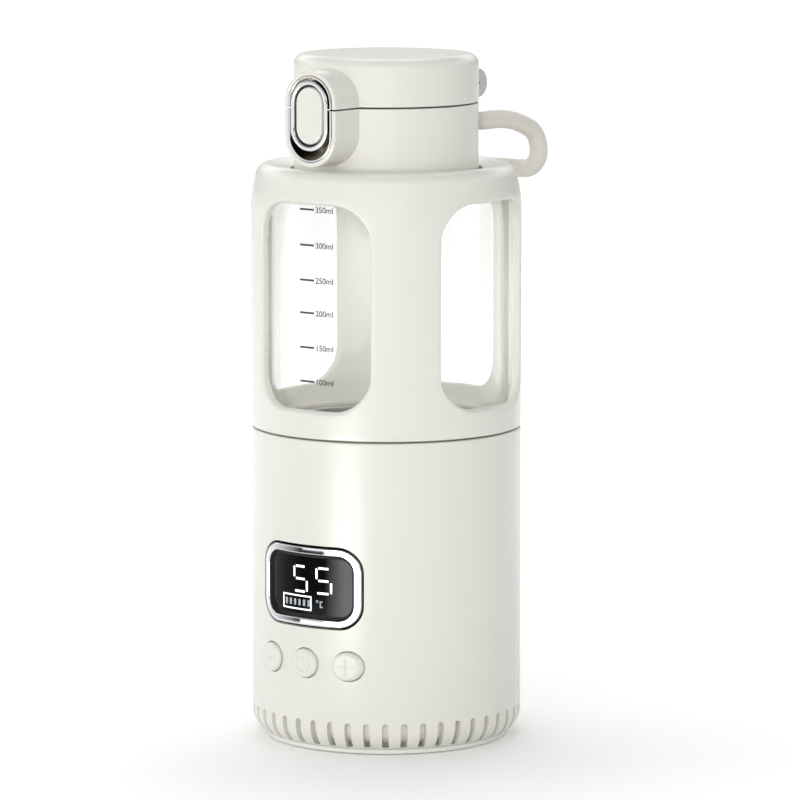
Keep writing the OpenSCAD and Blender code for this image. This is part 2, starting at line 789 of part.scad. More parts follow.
module base_shell() {
  color("#ebe9e2") difference() {
    union() {
      rotate_extrude() intersection() {
        difference() {
          base_outline();
          base_hollow();
        }
        translate([0, base_z]) square([body_d, base_h]);
      }
      base_inside();
    }
    for (i = [0 : vent_count - 1]) rotate([0, 0, (i + 0.5) * 360 / vent_count - 90])
      translate([vent_start, 0, base_z + vent_rim]) {
        translate([0, -vent_w / 2, 0]) cube([vent_reach, vent_w, vent_straight]);
        translate([0, 0, vent_straight]) rotate([0, 90, 0]) cylinder(d = vent_w, h = vent_reach);
      }
    along_y(-body_d, -switch_front, 0, display_z)
      round_rect(display_w + 2 * seat_gap, display_h + 2 * seat_gap, display_corner + seat_gap);
    difference() {
      along_y(-body_d, -switch_front, 0, display_z) round_rect(display_w + 2 * display_groove,
        display_h + 2 * display_groove, display_corner + display_groove);
      cylinder(r = frame_back, h = base_h);
    }
    for (s = [-1 : 1]) along_y(-body_d, -switch_front, s * button_step, button_z)
      stadium(button_w + 2 * move_gap, button_h + 2 * move_gap);
    along_y(socket_back, body_d, 0, socket_z)
      stadium(socket_w + 2 * move_gap, socket_h + 2 * move_gap);
    screw_places() translate([0, 0, screw_boss_z - 1])
      cylinder(d = screw_core_d + 2 * pin_gap, h = screw_boss_h);
    translate([-board_half - seat_gap, -board_front - seat_gap, board_low - seat_gap])
      cube([2 * (board_half + seat_gap), board_t + 2 * seat_gap, base_h]);
  }
}

module bottom_cover() {
  head_top = pad_h + screw_head_h + seat_gap;
  color("#e2e0d8") difference() {
    union() {
      translate([0, 0, pad_stand]) cylinder(r = edge_r - cover_inset, h = cover_rim_h - seat_gap);
      translate([0, 0, pad_stand]) cylinder(r = cover_open_r - seat_gap, h = spigot_top - pad_stand);
      screw_places() translate([0, 0, base_z]) cylinder(d = screw_boss_d, h = cover_spigot_h + post_h);
    }
    translate([0, 0, -1]) cylinder(r = pad_r + seat_gap, h = 1 + pad_h);
    screw_places() translate([0, 0, -1]) {
      cylinder(d = screw_d + 2 * seat_gap, h = base_h);
      cylinder(d = screw_head_d + 2 * seat_gap, h = 1 + head_top);
    }
  }
}

module base_pad() {
  color("#b9b6ac") cylinder(r = pad_r, h = pad_h - seat_gap);
}

module cover_screws() {
  color("#8d9196") screw_places() translate([0, 0, pad_h]) {
    cylinder(d = screw_head_d, h = screw_head_h);
    cylinder(d = screw_core_d, h = screw_end - pad_h);
  }
}

// Battery

module cell_places() {
  for (a = [45 : 90 : 315])
    translate([cell_ring * cos(a), cell_back + cell_ring * sin(a), 0]) children();
}

module cell_tray() {
  color("#2f3236") difference() {
    union() {
      cell_places() translate([0, 0, tray_z]) cylinder(r = holder_r, h = holder_plate + holder_grip);
      translate([0, cell_back, tray_z]) cylinder(r = cell_ring, h = holder_plate);
      translate([0, cell_back, tray_z]) cylinder(d = holder_post_d, h = holder_top - seat_gap - tray_z);
    }
    cell_places() translate([0, 0, tray_z + holder_plate]) cylinder(r = holder_in, h = cell_h);
  }
}

module battery_cells() {
  color("#3f6f8f") cell_places() translate([0, 0, cell_z]) {
    cylinder(r = cell_r, h = cell_h);
    cylinder(d = cell_tip_d, h = cell_h + cell_tip_h);
  }
}

module cell_clamp() {
  color("#2f3236") difference() {
    union() {
      cell_places() translate([0, 0, holder_top - holder_grip])
        cylinder(r = holder_r, h = holder_plate + holder_grip);
      translate([0, cell_back, holder_top]) cylinder(r = cell_ring, h = holder_plate);
    }
    cell_places() translate([0, 0, cell_z]) cylinder(r = holder_in, h = holder_top - cell_z);
  }
}

// Controls

module control_board() {
  color("#1e5b3a") translate([-board_half, -board_front, board_low])
    cube([2 * board_half, board_t, board_h]);
}

module board_parts() {
  color("#2a2a2c") {
    translate([-part_x - chip_w / 2, board_back, part_low - chip_w / 2])
      cube([chip_w, chip_h, chip_w]);
    translate([-part_x - driver_w / 2, board_back, part_high - driver_w])
      cube([driver_w, driver_h, 2 * driver_w]);
    translate([part_x - choke_w / 2, board_back, part_high - choke_w / 2])
      cube([choke_w, choke_h, choke_w]);
    along_y(board_back, board_back + can_h, part_x, part_low) circle(d = can_d);
  }
}

module board_switches() {
  color("#3a3a3c") for (s = [-1 : 1]) {
    along_y(-board_front - switch_body, -board_front, s * button_step, button_z)
      square(switch_w, center = true);
    along_y(-switch_front, -board_front - 1, s * button_step, button_z) circle(d = plunger_d);
  }
}

module display_module() {
  color("#d8d8d2") translate([-module_half_w, -module_front, display_z - module_half_h])
    cube([2 * module_half_w, module_front - board_front, 2 * module_half_h]);
}

module display_lens() {
  color("#0c0c0e") intersection() {
    along_y(-body_d, 0, 0, display_z)
      round_rect(display_w - 2 * seat_gap, display_h - 2 * seat_gap, display_corner - seat_gap);
    tube(lens_back, lens_r, display_z - display_h, display_z + display_h);
  }
}

module display_frame() {
  w = display_w - 2 * display_band;
  h = display_h - 2 * display_band;
  color("#c9ccd0") difference() {
    intersection() {
      along_y(-body_d, 0, 0, display_z) round_rect(display_w, display_h, display_corner);
      tube(frame_back, frame_r, display_z - display_h, display_z + display_h);
    }
    along_y(-body_d, 1, 0, display_z) round_rect(w, h, display_corner - display_band);
  }
}

module press_button(x) {
  z0 = button_z - button_h;
  z1 = button_z + button_h;
  back_r = flange_r - flange_t;
  root_r = flange_r - flange_t / 2;
  color("#ebe9e2") union() {
    intersection() {
      along_y(-body_d, -board_front, x, button_z) stadium(button_w, button_h);
      tube(back_r, body_r + button_proud, z0, z1);
    }
    intersection() {
      along_y(-body_d, -board_front, x, button_z)
        stadium(button_w + 2 * button_flange, button_h + 2 * button_flange);
      tube(back_r, flange_r, z0, z1);
    }
    along_y(-sqrt(root_r * root_r - x * x), -stem_end, x, button_z) circle(d = stem_d);
  }
}

module minus_button() {
  press_button(-button_step);
}

module power_button() {
  press_button(0);
}

module plus_button() {
  press_button(button_step);
}

module charge_board() {
  y1 = sqrt(base_in_r * base_in_r - socket_w * socket_w) - move_gap;
  color("#1e5b3a") translate([-socket_w, charge_board_y, shelf_z + seat_gap / 2])
    cube([2 * socket_w, y1 - charge_board_y, charge_board_t]);
}

module charge_socket() {
  color("#aab0b5") {
    difference() {
      along_y(socket_back, socket_front, 0, socket_z) stadium(socket_w, socket_h);
      along_y(socket_back + socket_end, socket_front + 1, 0, socket_z)
        stadium(socket_w - 2 * socket_skin, socket_h - 2 * socket_skin);
    }
    along_y(socket_back + socket_end / 2, socket_front - socket_end, 0, socket_z)
      square([tongue_w, tongue_t], center = true);
  }
}

// Heating deck

module deck_ring() {
  color("#dcdad2") union() {
    tube(deck_in_r, deck_r, deck_z, deck_top);
    tube(deck_hole_d / 2, deck_r, deck_z, deck_z + deck_floor);
    tube(pan_seat_in, pan_seat_r, deck_z, pan_top - pan_sheet - seat_gap);
    for (i = [0 : 2])
      ridge(deck_in_r + ridge_sink, deck_ridge_r, deck_ridge_z, cup_lead, cup_ridge_deg, i * 120);
  }
}

module heating_pan() {
  in_r = pan_r - pan_sheet;
  color("#b6b8ba") rotate_extrude() polygon([[0, pan_floor_z], [pan_r - pan_bend, pan_floor_z],
    [pan_r, pan_floor_z + pan_bend], [pan_r, pan_top - pan_sheet], [pan_rim_r, pan_top - pan_sheet],
    [pan_rim_r, pan_top], [in_r, pan_top], [in_r, pan_floor_z + pan_bend_in],
    [pan_r - pan_bend_in, pan_floor_z + pan_sheet], [0, pan_floor_z + pan_sheet]]);
}

module heater_plate() {
  color("#9a9da0") translate([0, 0, heater_z]) cylinder(r = heater_r, h = heater_h);
}

module heat_shield() {
  color("#d9cfae") tube(shield_hole_d / 2, pan_seat_in - seat_gap, shield_z, shield_z + shield_h);
}

module temperature_sensor() {
  color("#3a2c24") translate([0, 0, sense_z]) cylinder(d = sensor_d, h = sense_top - sense_z);
}

module thermal_cutout() {
  color("#4a4038") translate([cutout_x, 0, sense_z]) cylinder(d = cutout_d, h = sense_top - sense_z);
}

module cup_seal() {
  color("#c9c6bc") tube(cup_seal_in, cup_seal_r, cup_seal_top - cup_seal_h, cup_seal_top);
}

// Cup

module sleeve_outline() {
  union() {
    translate([0, sleeve_z + seam_chamfer])
      square([body_r, taper_z - sleeve_z - seam_chamfer]);
    translate([0, sleeve_z]) square([shoulder_mid_r, ceiling_z - sleeve_z]);
    polygon([[0, taper_z], [body_r, taper_z], taper_end, [0, taper_end[1]]]);
    translate([shoulder_mid_r, shoulder_mid_z]) circle(shoulder_r);
    polygon([[0, sleeve_z], [body_r - seam_chamfer, sleeve_z], [body_r, sleeve_z + seam_chamfer],
      [0, sleeve_z + seam_chamfer]]);
    polygon([[0, ceiling_z], [shoulder_mid_r, ceiling_z], [shoulder_mid_r, sleeve_top],
      [sleeve_open_r + lip_flat, lip_z], [0, lip_z]]);
  }
}

module sleeve_hollow() {
  mid_z = ceiling_z - hollow_r;
  union() {
    translate([-1, sleeve_z - 1]) square([sleeve_in_r + 1, mid_z - sleeve_z + 1]);
    translate([-1, sleeve_z - 1]) square([sleeve_in_r - hollow_r + 1, ceiling_z - sleeve_z + 1]);
    translate([sleeve_in_r - hollow_r, mid_z]) circle(hollow_r);
    translate([-1, sleeve_z - 1]) square([sleeve_open_r + 1, sleeve_h + 2]);
  }
}

module sleeve() {
  w = 2 * body_r * sin(window_half_deg);
  color("#ebe8e1") difference() {
    rotate_extrude() difference() {
      sleeve_outline();
      sleeve_hollow();
    }
    for (a = [0 : 90 : 270]) rotate([0, 0, a])
      along_y(-body_d, -sleeve_in_r / 2, 0, base_h + window_low + window_h / 2)
        round_rect(w, window_h, window_corner);
  }
}

module glass_outline(t) {
  z = glass_z - 2 * t;
  union() {
    translate([-t, z]) square([glass_r, glass_round_z - z]);
    translate([-t, z]) square([glass_round_r + t, glass_top - t - z]);
    translate([glass_round_r, glass_round_z]) circle(glass_round - t);
    translate([-t, z]) square([neck_r, neck_top + 2 * t - z]);
  }
}

module glass() {
  color("#cfd8dc", 0.5) rotate_extrude() intersection() {
    difference() {
      glass_outline(0);
      glass_outline(glass_wall);
    }
    square([body_d, neck_top]);
  }
}

module seat_ring() {
  color("#dcdad2") union() {
    tube(glass_in, seat_r, base_h - seat_drop, seat_top);
    tube(glass_in, seat_flange_r, seat_top - seat_flange_h, seat_top);
    for (i = [0 : 2])
      ridge(seat_r - ridge_sink, seat_ridge_r, seat_ridge_z, cup_lead, cup_ridge_deg, i * 120);
  }
}

module neck_ring() {
  color("#dcdad2") union() {
    tube(neck_ring_in, neck_ring_r, neck_ring_z, neck_ring_top);
    tube(neck_ring_in, neck_flange_r, neck_ring_z, neck_flange_top);
    for (i = [0 : 1])
      ridge(neck_ring_r - ridge_sink, neck_ridge_r, neck_ridge_z, lid_lead, lid_ridge_deg, i * 180);
  }
}

module neck_washer() {
  color("#c9c6bc") tube(washer_in, glass_round_r, washer_z, washer_z + washer_h);
}

// Lid

module lid_seal() {
  color("#c9c6bc") tube(lid_seal_in, neck_ring_r, lid_seal_z, lid_seal_z + lid_seal_h);
}

module boss_block(z0, z1) {
  intersection() {
    along_y(-boss_front, 0, 0, boss_mid) stadium(boss_w, boss_z1 - boss_z0);
    translate([-body_r, -body_r, z0]) cube([body_d, body_r, z1 - z0]);
  }
}

module boss_recess() {
  along_y(-body_r - 1, -recess_back, 0, boss_mid) stadium(recess_w, recess_h);
}

module latch_bore() {
  along_x(latch_pin_d + 2 * pin_gap, -boss_w, boss_w, -latch_pin_front, latch_pin_z);
}

module trim_half(z0, z1) {
  color("#c9ccd0") difference() {
    intersection() {
      along_y(-trim_front, -trim_back, 0, boss_mid) stadium(trim_w, trim_h);
      translate([-body_r, -body_r, z0]) cube([body_d, body_r, z1 - z0]);
    }
    along_y(-body_r, -trim_face, 0, boss_mid) stadium(trim_w - 2 * trim_t, trim_h - 2 * trim_t);
    latch_bore();
    translate([-catch_slot_w / 2, -catch_front, catch_z - catch_slot_gap])
      cube([catch_slot_w, catch_front, catch_h + 2 * catch_slot_gap]);
  }
}

module collar() {
  color("#e6e4dc") difference() {
    union() {
      tube(collar_in, lid_r, collar_z, collar_top);
      tube(collar_in - collar_lip, lid_r, collar_z, collar_z + lip_h);
      difference() {
        boss_block(boss_z0, collar_top);
        cylinder(r = collar_mid, h = collar_top + 1);
      }
      intersection() {
        union() {
          along_x(barrel_d, -knuckle_half, knuckle_half, hinge_back, hinge_z);
          translate([-knuckle_half, hinge_back - barrel_r, collar_top - knuckle_root])
            cube([2 * knuckle_half, knuckle_block, hinge_rise + knuckle_root]);
        }
        translate([-body_r, collar_in, 0]) cube([body_d, body_r, cap_top]);
      }
      for (s = [-1, 1]) difference() {
        union() {
          along_x(lug_d, s * lug_mid - loop_lug_w / 2, s * lug_mid + loop_lug_w / 2, loop_back, loop_z);
          translate([s * lug_mid - loop_lug_w / 2, loop_back - lug_root, loop_z - lug_d / 2])
            cube([loop_lug_w, lug_root, lug_d]);
        }
        cylinder(r = collar_mid, h = collar_top + 1);
      }
    }
    boss_recess();
    latch_bore();
    along_x(hinge_pin_d + 2 * pin_gap, -body_r, body_r, hinge_back, hinge_z);
    along_x(loop_pin_d + 2 * pin_gap, -body_r, body_r, loop_back, loop_z);
  }
}

module lid_liner() {
  color("#efede6") difference() {
    union() {
      tube(liner_in, liner_r, liner_z, liner_top);
      tube(spout_r, liner_r, liner_ceiling, liner_top);
      tube(spout_r, spout_out, liner_ceiling, spout_top);
      for (i = [0 : 1])
        ridge(liner_in + ridge_sink, liner_ridge_r, liner_ridge_z, lid_lead, lid_ridge_deg, i * 180);
    }
    translate([0, (spout_out + liner_in) / 2, liner_ceiling - 1])
      cylinder(d = air_hole_d, h = liner_plate + 2);
  }
}

module lower_trim() {
  trim_half(0, collar_top - seat_gap);
}

module latch_pin() {
  color("#a5a8ab")
    along_x(latch_pin_d, -latch_pin_half, latch_pin_half, -latch_pin_front, latch_pin_z);
}

module latch_spring() {
  length = lever_back - latch_spring_back - seat_gap;
  color("#8d9196") translate([0, -latch_spring_back, latch_spring_z]) rotate([90, 0, 0])
    coil(latch_coil_d, latch_wire_d, length, latch_turns);
}

module hinge_pin() {
  half = knuckle_end - seat_gap;
  color("#a5a8ab") along_x(hinge_pin_d, -half, half, hinge_back, hinge_z);
}

module hinge_springs() {
  room = notch_half - knuckle_half - 2 * seat_gap;
  mid = knuckle_half + seat_gap + room / 2;
  coil_d = hinge_pin_d + 2 * hinge_wire_d + 4 * seat_gap;
  color("#8d9196") for (s = [-1, 1])
    translate([s * mid - room / 2, hinge_back, hinge_z]) rotate([0, 90, 0])
      coil(coil_d, hinge_wire_d, room, hinge_turns);
}

module loop_pins() {
  color("#a5a8ab") {
    along_x(loop_pin_d, loop_pin_in, loop_pin_out, loop_back, loop_z);
    along_x(loop_pin_d, -loop_pin_out, -loop_pin_in, loop_back, loop_z);
  }
}

// Flip cap

module cap_outline() {
  union() {
    translate([0, cap_z]) square([lid_r, cap_round_z - cap_z]);
    translate([0, cap_z]) square([cap_round_r, cap_h]);
    translate([cap_round_r, cap_round_z]) circle(cap_round);
  }
}

module flip_cap() {
  color("#e6e4dc") difference() {
    union() {
      difference() {
        union() {
          rotate_extrude() intersection() {
            cap_outline();
            square([body_d, cap_top]);
          }
          boss_block(cap_z, boss_z1);
        }
        translate([0, 0, cap_z - 1]) cylinder(r = cap_in_r, h = cap_ceiling - cap_z + 1);
        translate([-notch_half, hinge_back - barrel_r - notch_depth, cap_z - 1])
          cube([2 * notch_half, body_r, notch_top - cap_z + 1]);
        boss_recess();
      }
      along_x(barrel_d, notch_half, knuckle_end, hinge_back, hinge_z);
      along_x(barrel_d, -knuckle_end, -notch_half, hinge_back, hinge_z);
      translate([-catch_w / 2, -catch_front, catch_z])
        cube([catch_w, catch_front - lid_r + cap_wall / 2, catch_h]);
    }
    along_x(hinge_pin_d + 2 * pin_gap, -body_r, body_r, hinge_back, hinge_z);
    along_x(barrel_d, knuckle_end, body_r, hinge_back, hinge_z);
    along_x(barrel_d, -body_r, -knuckle_end, hinge_back, hinge_z);
  }
}

module cap_disc() {
  color("#efede6") union() {
    translate([0, 0, disc_z]) cylinder(r = disc_r, h = cap_disc_h);
    tube(spigot_in, spigot_out, spigot_z, disc_z + cap_disc_h / 2);
  }
}

module stopper() {
  color("#c9c6bc") difference() {
    union() {
      translate([0, 0, stopper_z]) cylinder(r = stopper_r, h = stopper_h);
      translate([0, 0, stopper_z - plug_h]) cylinder(r = plug_r, h = plug_h + stopper_h / 2);
    }
    tube(spigot_in - seat_gap, spigot_out + seat_gap, spigot_z - seat_gap, disc_z + 1);
  }
}

module upper_trim() {
  trim_half(cap_z + seat_gap, boss_z1);
}

module hinge_end_caps() {
  inner = knuckle_end + seat_gap / 2;
  color("#bdbdb8") {
    along_x(end_cap_d, inner, barrel_half, hinge_back, hinge_z);
    along_x(end_cap_d, -barrel_half, -inner, hinge_back, hinge_z);
  }
}

// Rocker latch

module rocker_shape(inset) {
  stadium(rocker_w - 2 * inset, rocker_z1 - rocker_z0 - 2 * inset);
}

module latch_lever() {
  color("#d8d6ce") difference() {
    union() {
      along_y(seat_gap / 2 - rocker_back, -lever_back, 0, rocker_mid) rocker_shape(lever_inset);
      along_x(latch_hub_d, -hub_half, hub_half, -latch_pin_front, latch_pin_z);
      translate([-hub_half, -lever_root, latch_pin_z - lever_web])
        cube([2 * hub_half, lever_root - latch_pin_front, 2 * lever_web]);
      translate([-hook_w / 2, -lever_root, hook_z]) cube([hook_w, lever_root - hook_tip, hook_t]);
    }
    latch_bore();
  }
}

module rocker_ring() {
  color("#c9ccd0") difference() {
    along_y(-rocker_front, -rocker_back, 0, rocker_mid) rocker_shape(0);
    along_y(-rocker_front - 1, 1 - rocker_back, 0, rocker_mid) rocker_shape(face_inset - move_gap);
  }
}

module rocker_face() {
  color("#ebe9e2") along_y(-face_front, -rocker_back, 0, rocker_mid) rocker_shape(face_inset);
}

// Carry loop

// Station on an arm, where the arm has turned down by the angle a
function arm_station(y, z, a, r) = [[loop_half, y, z], [1, 0, 0], [0, -sin(a), -cos(a)], r];

// Half of the loop, from its round end at the pivot to the lower bar
function loop_stations() = concat(
  [for (b = [75 : -15 : 0]) arm_station(loop_back - loop_r * sin(b), loop_z, 0, loop_r * cos(b))],
  [for (i = [0 : 4]) let (a = loop_bend_deg * i / 4)
    arm_station(bend_y + loop_bend_r * sin(a), loop_z - loop_bend_r * (1 - cos(a)), a, loop_r)],
  [for (i = [1 : 6]) let (a = loop_bend_deg + (90 - loop_bend_deg) * i / 6)
    arm_station(drop_y + loop_drop_r * sin(a), drop_end_z + loop_drop_r * cos(a), a, loop_r)],
  [for (b = [15 : 15 : 90])
    [[loop_half - loop_corner_r * (1 - cos(b)), bar_y, drop_end_z - loop_corner_r * sin(b)],
    [cos(b), 0, -sin(b)], [0, -1, 0], loop_r]]);

function mirror_x(v) = [-v[0], v[1], v[2]];

module carry_loop() {
  right = loop_stations();
  left = [for (i = [len(right) - 1 : -1 : 0])
    [mirror_x(right[i][0]), mirror_x(right[i][1]), mirror_x(right[i][2]), right[i][3]]];
  bore = loop_pin_out + seat_gap;
  color("#d6d3c8") difference() {
    sweep(concat(right, left), 24);
    along_x(loop_pin_d + 2 * pin_gap, -bore, bore, loop_back, loop_z);
  }
}

base_shell();
bottom_cover();
base_pad();
cover_screws();
cell_tray();
battery_cells();
cell_clamp();
control_board();
board_parts();
board_switches();
display_module();
display_lens();
display_frame();
minus_button();
power_button();
plus_button();
charge_board();
charge_socket();
deck_ring();
heating_pan();
heater_plate();
heat_shield();
temperature_sensor();
thermal_cutout();
cup_seal();
sleeve();
glass();
seat_ring();
neck_ring();
neck_washer();
lid_seal();
collar();
lid_liner();
lower_trim();
latch_pin();
latch_spring();
hinge_pin();
hinge_springs();
loop_pins();
flip_cap();
cap_disc();
stopper();
upper_trim();
hinge_end_caps();
latch_lever();
rocker_ring();
rocker_face();
carry_loop();
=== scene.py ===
import math
import bmesh
import bpy
from mathutils import Matrix, Vector


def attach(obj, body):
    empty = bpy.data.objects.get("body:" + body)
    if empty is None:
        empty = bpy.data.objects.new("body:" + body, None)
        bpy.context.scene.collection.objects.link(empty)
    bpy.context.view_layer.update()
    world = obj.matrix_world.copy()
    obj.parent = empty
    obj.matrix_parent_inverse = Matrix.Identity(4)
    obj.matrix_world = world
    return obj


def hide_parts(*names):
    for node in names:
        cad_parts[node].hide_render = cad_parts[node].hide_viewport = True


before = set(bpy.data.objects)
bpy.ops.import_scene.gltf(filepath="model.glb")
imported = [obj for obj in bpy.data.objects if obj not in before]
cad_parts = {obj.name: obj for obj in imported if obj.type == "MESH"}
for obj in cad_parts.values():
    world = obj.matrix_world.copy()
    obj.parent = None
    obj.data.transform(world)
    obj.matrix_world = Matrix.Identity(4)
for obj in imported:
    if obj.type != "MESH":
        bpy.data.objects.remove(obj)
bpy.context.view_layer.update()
scene = bpy.context.scene

# Camera
# A long lens well back from the cup, a little above the lid and round to its right, so the
# display, two windows and the carry loop all show. The part has no cord.
lens_mm = 225
sensor_mm = 36
camera_data = bpy.data.cameras.new("camera")
camera_data.lens = lens_mm
camera_data.sensor_width = sensor_mm
camera_data.clip_end = 50
camera = bpy.data.objects.new("camera", camera_data)
camera.location = (0.97626, -1.31948, 0.33794)
camera.rotation_euler = (math.radians(82.15), 0, math.radians(36.34))
scene.collection.objects.link(camera)
scene.camera = camera

# Non-slip pad
# A disc of silicone rubber glued into the bottom cover. It is moulded with low grip rings and
# stands below the cover's rim, so the cup rests on rubber.
pad_r = 34.17
pad_top = 1.5
ring_step = 0.35


def linear(code):
    channels = [int(code[i:i + 2], 16) / 255 for i in (1, 3, 5)]
    return [c / 12.92 if c <= 0.04045 else ((c + 0.055) / 1.055) ** 2.4 for c in channels] + [1]


def add(tree, kind, inputs, **settings):
    node = tree.nodes.new(kind)
    for name, value in settings.items():
        setattr(node, name, value)
    for name, value in inputs.items():
        if isinstance(value, tuple):
            tree.links.new(value[0].outputs[value[1]], node.inputs[name])
        else:
            node.inputs[name].default_value = value
    return node


def finish_with_grain(name, code, second_code, grain, depth, **sockets):
    # Tone drifts slowly between two colours over 30 mm. Grain and its depth are in mm, and fine grit is
    # drawn coarser than it is, so that it shows
    finish = bpy.data.materials.new(name)
    finish.use_nodes = True
    tree = finish.node_tree
    skin = tree.nodes["Principled BSDF"]
    for socket, value in sockets.items():
        skin.inputs[socket.replace("_", " ")].default_value = value
    place = add(tree, "ShaderNodeTexCoord", {})
    drift = add(tree, "ShaderNodeTexNoise", {"Vector": (place, "Object"), "Scale": 1000 / 30})
    tone = add(tree, "ShaderNodeMix", {0: (drift, "Fac"), 6: linear(code), 7: linear(second_code)},
               data_type="RGBA")
    grit = add(tree, "ShaderNodeTexNoise", {"Vector": (place, "Object"), "Scale": 1000 / grain})
    relief = add(tree, "ShaderNodeBump", {"Height": (grit, "Fac"), "Distance": depth / 1000})
    tree.links.new(tone.outputs[2], skin.inputs["Base Color"])
    tree.links.new(relief.outputs["Normal"], skin.inputs["Normal"])
    return finish


def round_corners(shape, corners, radius, segments):
    bmesh.ops.bevel(shape, geom=corners, offset=radius, offset_type="OFFSET", segments=segments,
                    profile=0.5, affect="VERTICES", material=-1)


def turned(outline, steps=128, closed=True):
    # Outline of (radius, height) in mm, with a rounding for each soft corner, turned round the cup axis
    shape = bmesh.new()
    points = [shape.verts.new((r, 0, z)) for r, z, *rounding in outline]
    for here, there in zip(points, points[1:]):
        shape.edges.new((here, there))
    if closed:
        shape.edges.new((points[-1], points[0]))
    for point, (r, z, *rounding) in zip(points, outline):
        if rounding:
            round_corners(shape, [point], rounding[0], 6)
    bmesh.ops.spin(shape, geom=shape.verts[:] + shape.edges[:], cent=(0, 0, 0), axis=(0, 0, 1),
                   dvec=(0, 0, 0), angle=math.tau, steps=steps, use_merge=True)
    return shape


def fit_piece(name, shape, finish, body, nodes, crease=35):
    # Closes the shape, takes it from mm to metres and sets it on its body in place of its solids
    bmesh.ops.remove_doubles(shape, verts=shape.verts, dist=0.001)
    bmesh.ops.recalc_face_normals(shape, faces=shape.faces)
    bmesh.ops.scale(shape, vec=(0.001, 0.001, 0.001), verts=shape.verts)
    mesh = bpy.data.meshes.new(name)
    shape.to_mesh(mesh)
    shape.free()
    mesh.materials.append(finish)
    mesh.shade_smooth()
    mesh.set_sharp_from_angle(angle=math.radians(crease))
    piece = bpy.data.objects.new(name, mesh)
    scene.collection.objects.link(piece)
    flats = piece.modifiers.new("even_flats", "WEIGHTED_NORMAL")
    flats.keep_sharp = True
    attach(piece, body)
    if nodes:
        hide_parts(*nodes)
    return piece


# Silicone rubber, moulded: soft, slightly milky and dull, with a fine matt skin
silicone = finish_with_grain("moulded_silicone", "#d0cdc4", "#c6c3b9", 0.3, 0.02, Roughness=0.6,
                             Subsurface_Weight=0.1)
pad = turned([(0, ring_step), (9, ring_step), (9.3, 0), (13.7, 0), (14, ring_step), (19, ring_step),
              (19.3, 0), (23.7, 0), (24, ring_step), (28.7, ring_step), (29, 0), (pad_r, 0, 0.4),
              (pad_r, pad_top, 0.2), (0, pad_top)], closed=False)
fit_piece("non_slip_pad", pad, silicone, "base", ["base_pad"])

# Bottom cover and screws
# A moulded ABS disc that closes the base from below, held by zinc-plated steel screws in
# deep holes under the pad.


def dress(finish, *nodes):
    for node in nodes:
        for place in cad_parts[node].material_slots:
            place.material = finish


# ABS, injection moulded with a satin spark-eroded skin: an even cream with a broad soft sheen
cream_abs = finish_with_grain("moulded_satin_abs", "#e5e4dd", "#e3e2da", 0.25, 0.002, Roughness=0.27,
                              IOR=1.53)
# Steel with bright zinc plating: cool grey, slightly cloudy
zinc_steel = finish_with_grain("zinc_plated_steel", "#b4b7ba", "#a2a5a9", 0.4, 0.004, Roughness=0.3,
                               Metallic=1)
dress(cream_abs, "bottom_cover")
dress(zinc_steel, "cover_screws")

# Base shell
# The outer body of the base, one ABS moulding with a rounded lower edge. Slots round the foot
# let air to the charger; the front is pierced for the display and the three buttons.
base_r = 44.6
base_in = 42
base_foot = 2
base_floor = 3.4
base_top = 103.4
foot_in = 37.2
edge_r = 8.2
edge_mid = base_r - edge_r
edge_z = 9
vent_count = 45
vent_w = 2.2
vent_low = 2.9
vent_high = 11.2
vent_in = 37
vent_depth = 12
display_z = 55.4
display_w = 39
display_h = 25.8
display_corner = 7.4
display_groove = 0.8
button_z = 30
button_step = 15.45
button_w = 9.8
button_h = 9.6
button_gap = 0.3
socket_z = 23.5
inlet_w = 9.6
inlet_h = 3.9
cut_far = 60
cut_near = 30


def arc(r, z, radius, first, last, steps):
    # Outline points along an arc round (r, z), from one angle to another in degrees
    angles = [math.radians(first + (last - first) * i / steps) for i in range(steps + 1)]
    return [(r + radius * math.cos(a), z + radius * math.sin(a)) for a in angles]


def plate(w, h, corner, y, x=0, z=0):
    # Upright sheet facing the front, with round corners
    shape = bmesh.new()
    corners = [shape.verts.new((x + s * w / 2, y, z + t * h / 2))
               for s, t in ((-1, -1), (1, -1), (1, 1), (-1, 1))]
    shape.faces.new(corners)
    round_corners(shape, corners, corner, 10)
    bmesh.ops.remove_doubles(shape, verts=shape.verts, dist=0.001)
    return shape


def only(kind, parts):
    return [part for part in parts if isinstance(part, kind)]


def push(shape, faces, step):
    # Extrudes the faces by a step and gives back the moved faces; a lone sheet keeps its back
    alone = all(set(edge.link_faces) <= set(faces) for face in faces for edge in face.edges)
    moved = only(bmesh.types.BMFace, bmesh.ops.extrude_face_region(shape, geom=faces)["geom"])
    bmesh.ops.translate(shape, verts=list({v for face in moved for v in face.verts}), vec=step)
    if not alone:
        bmesh.ops.delete(shape, geom=faces, context="FACES")
    return moved


def slab(w, h, corner, y, y_end, x=0, z=0):
    # Upright block with round corners, from one depth to another
    shape = plate(w, h, corner, y, x, z)
    push(shape, shape.faces[:], (0, y_end - y, 0))
    return shape


def turn(shape, degrees, axis, step=(0, 0, 0)):
    # Turns the shape about an axis through the origin and then moves it by a step
    bmesh.ops.rotate(shape, verts=shape.verts, cent=(0, 0, 0),
                     matrix=Matrix.Rotation(math.radians(degrees), 3, axis))
    bmesh.ops.translate(shape, verts=shape.verts, vec=step)
    return shape


def whole(shape):
    return shape.verts[:] + shape.edges[:] + shape.faces[:]


def join(shape, *others):
    for other in others:
        mesh = bpy.data.meshes.new("joined")
        other.to_mesh(mesh)
        other.free()
        shape.from_mesh(mesh)
        bpy.data.meshes.remove(mesh)
    return shape


def worked_out(held):
    # Shape of an object once its modifiers are applied or its lettering is drawn
    bpy.context.view_layer.update()
    view = bpy.context.evaluated_depsgraph_get()
    shape = bmesh.new()
    shape.from_mesh(bpy.data.meshes.new_from_object(held.evaluated_get(view)))
    return shape


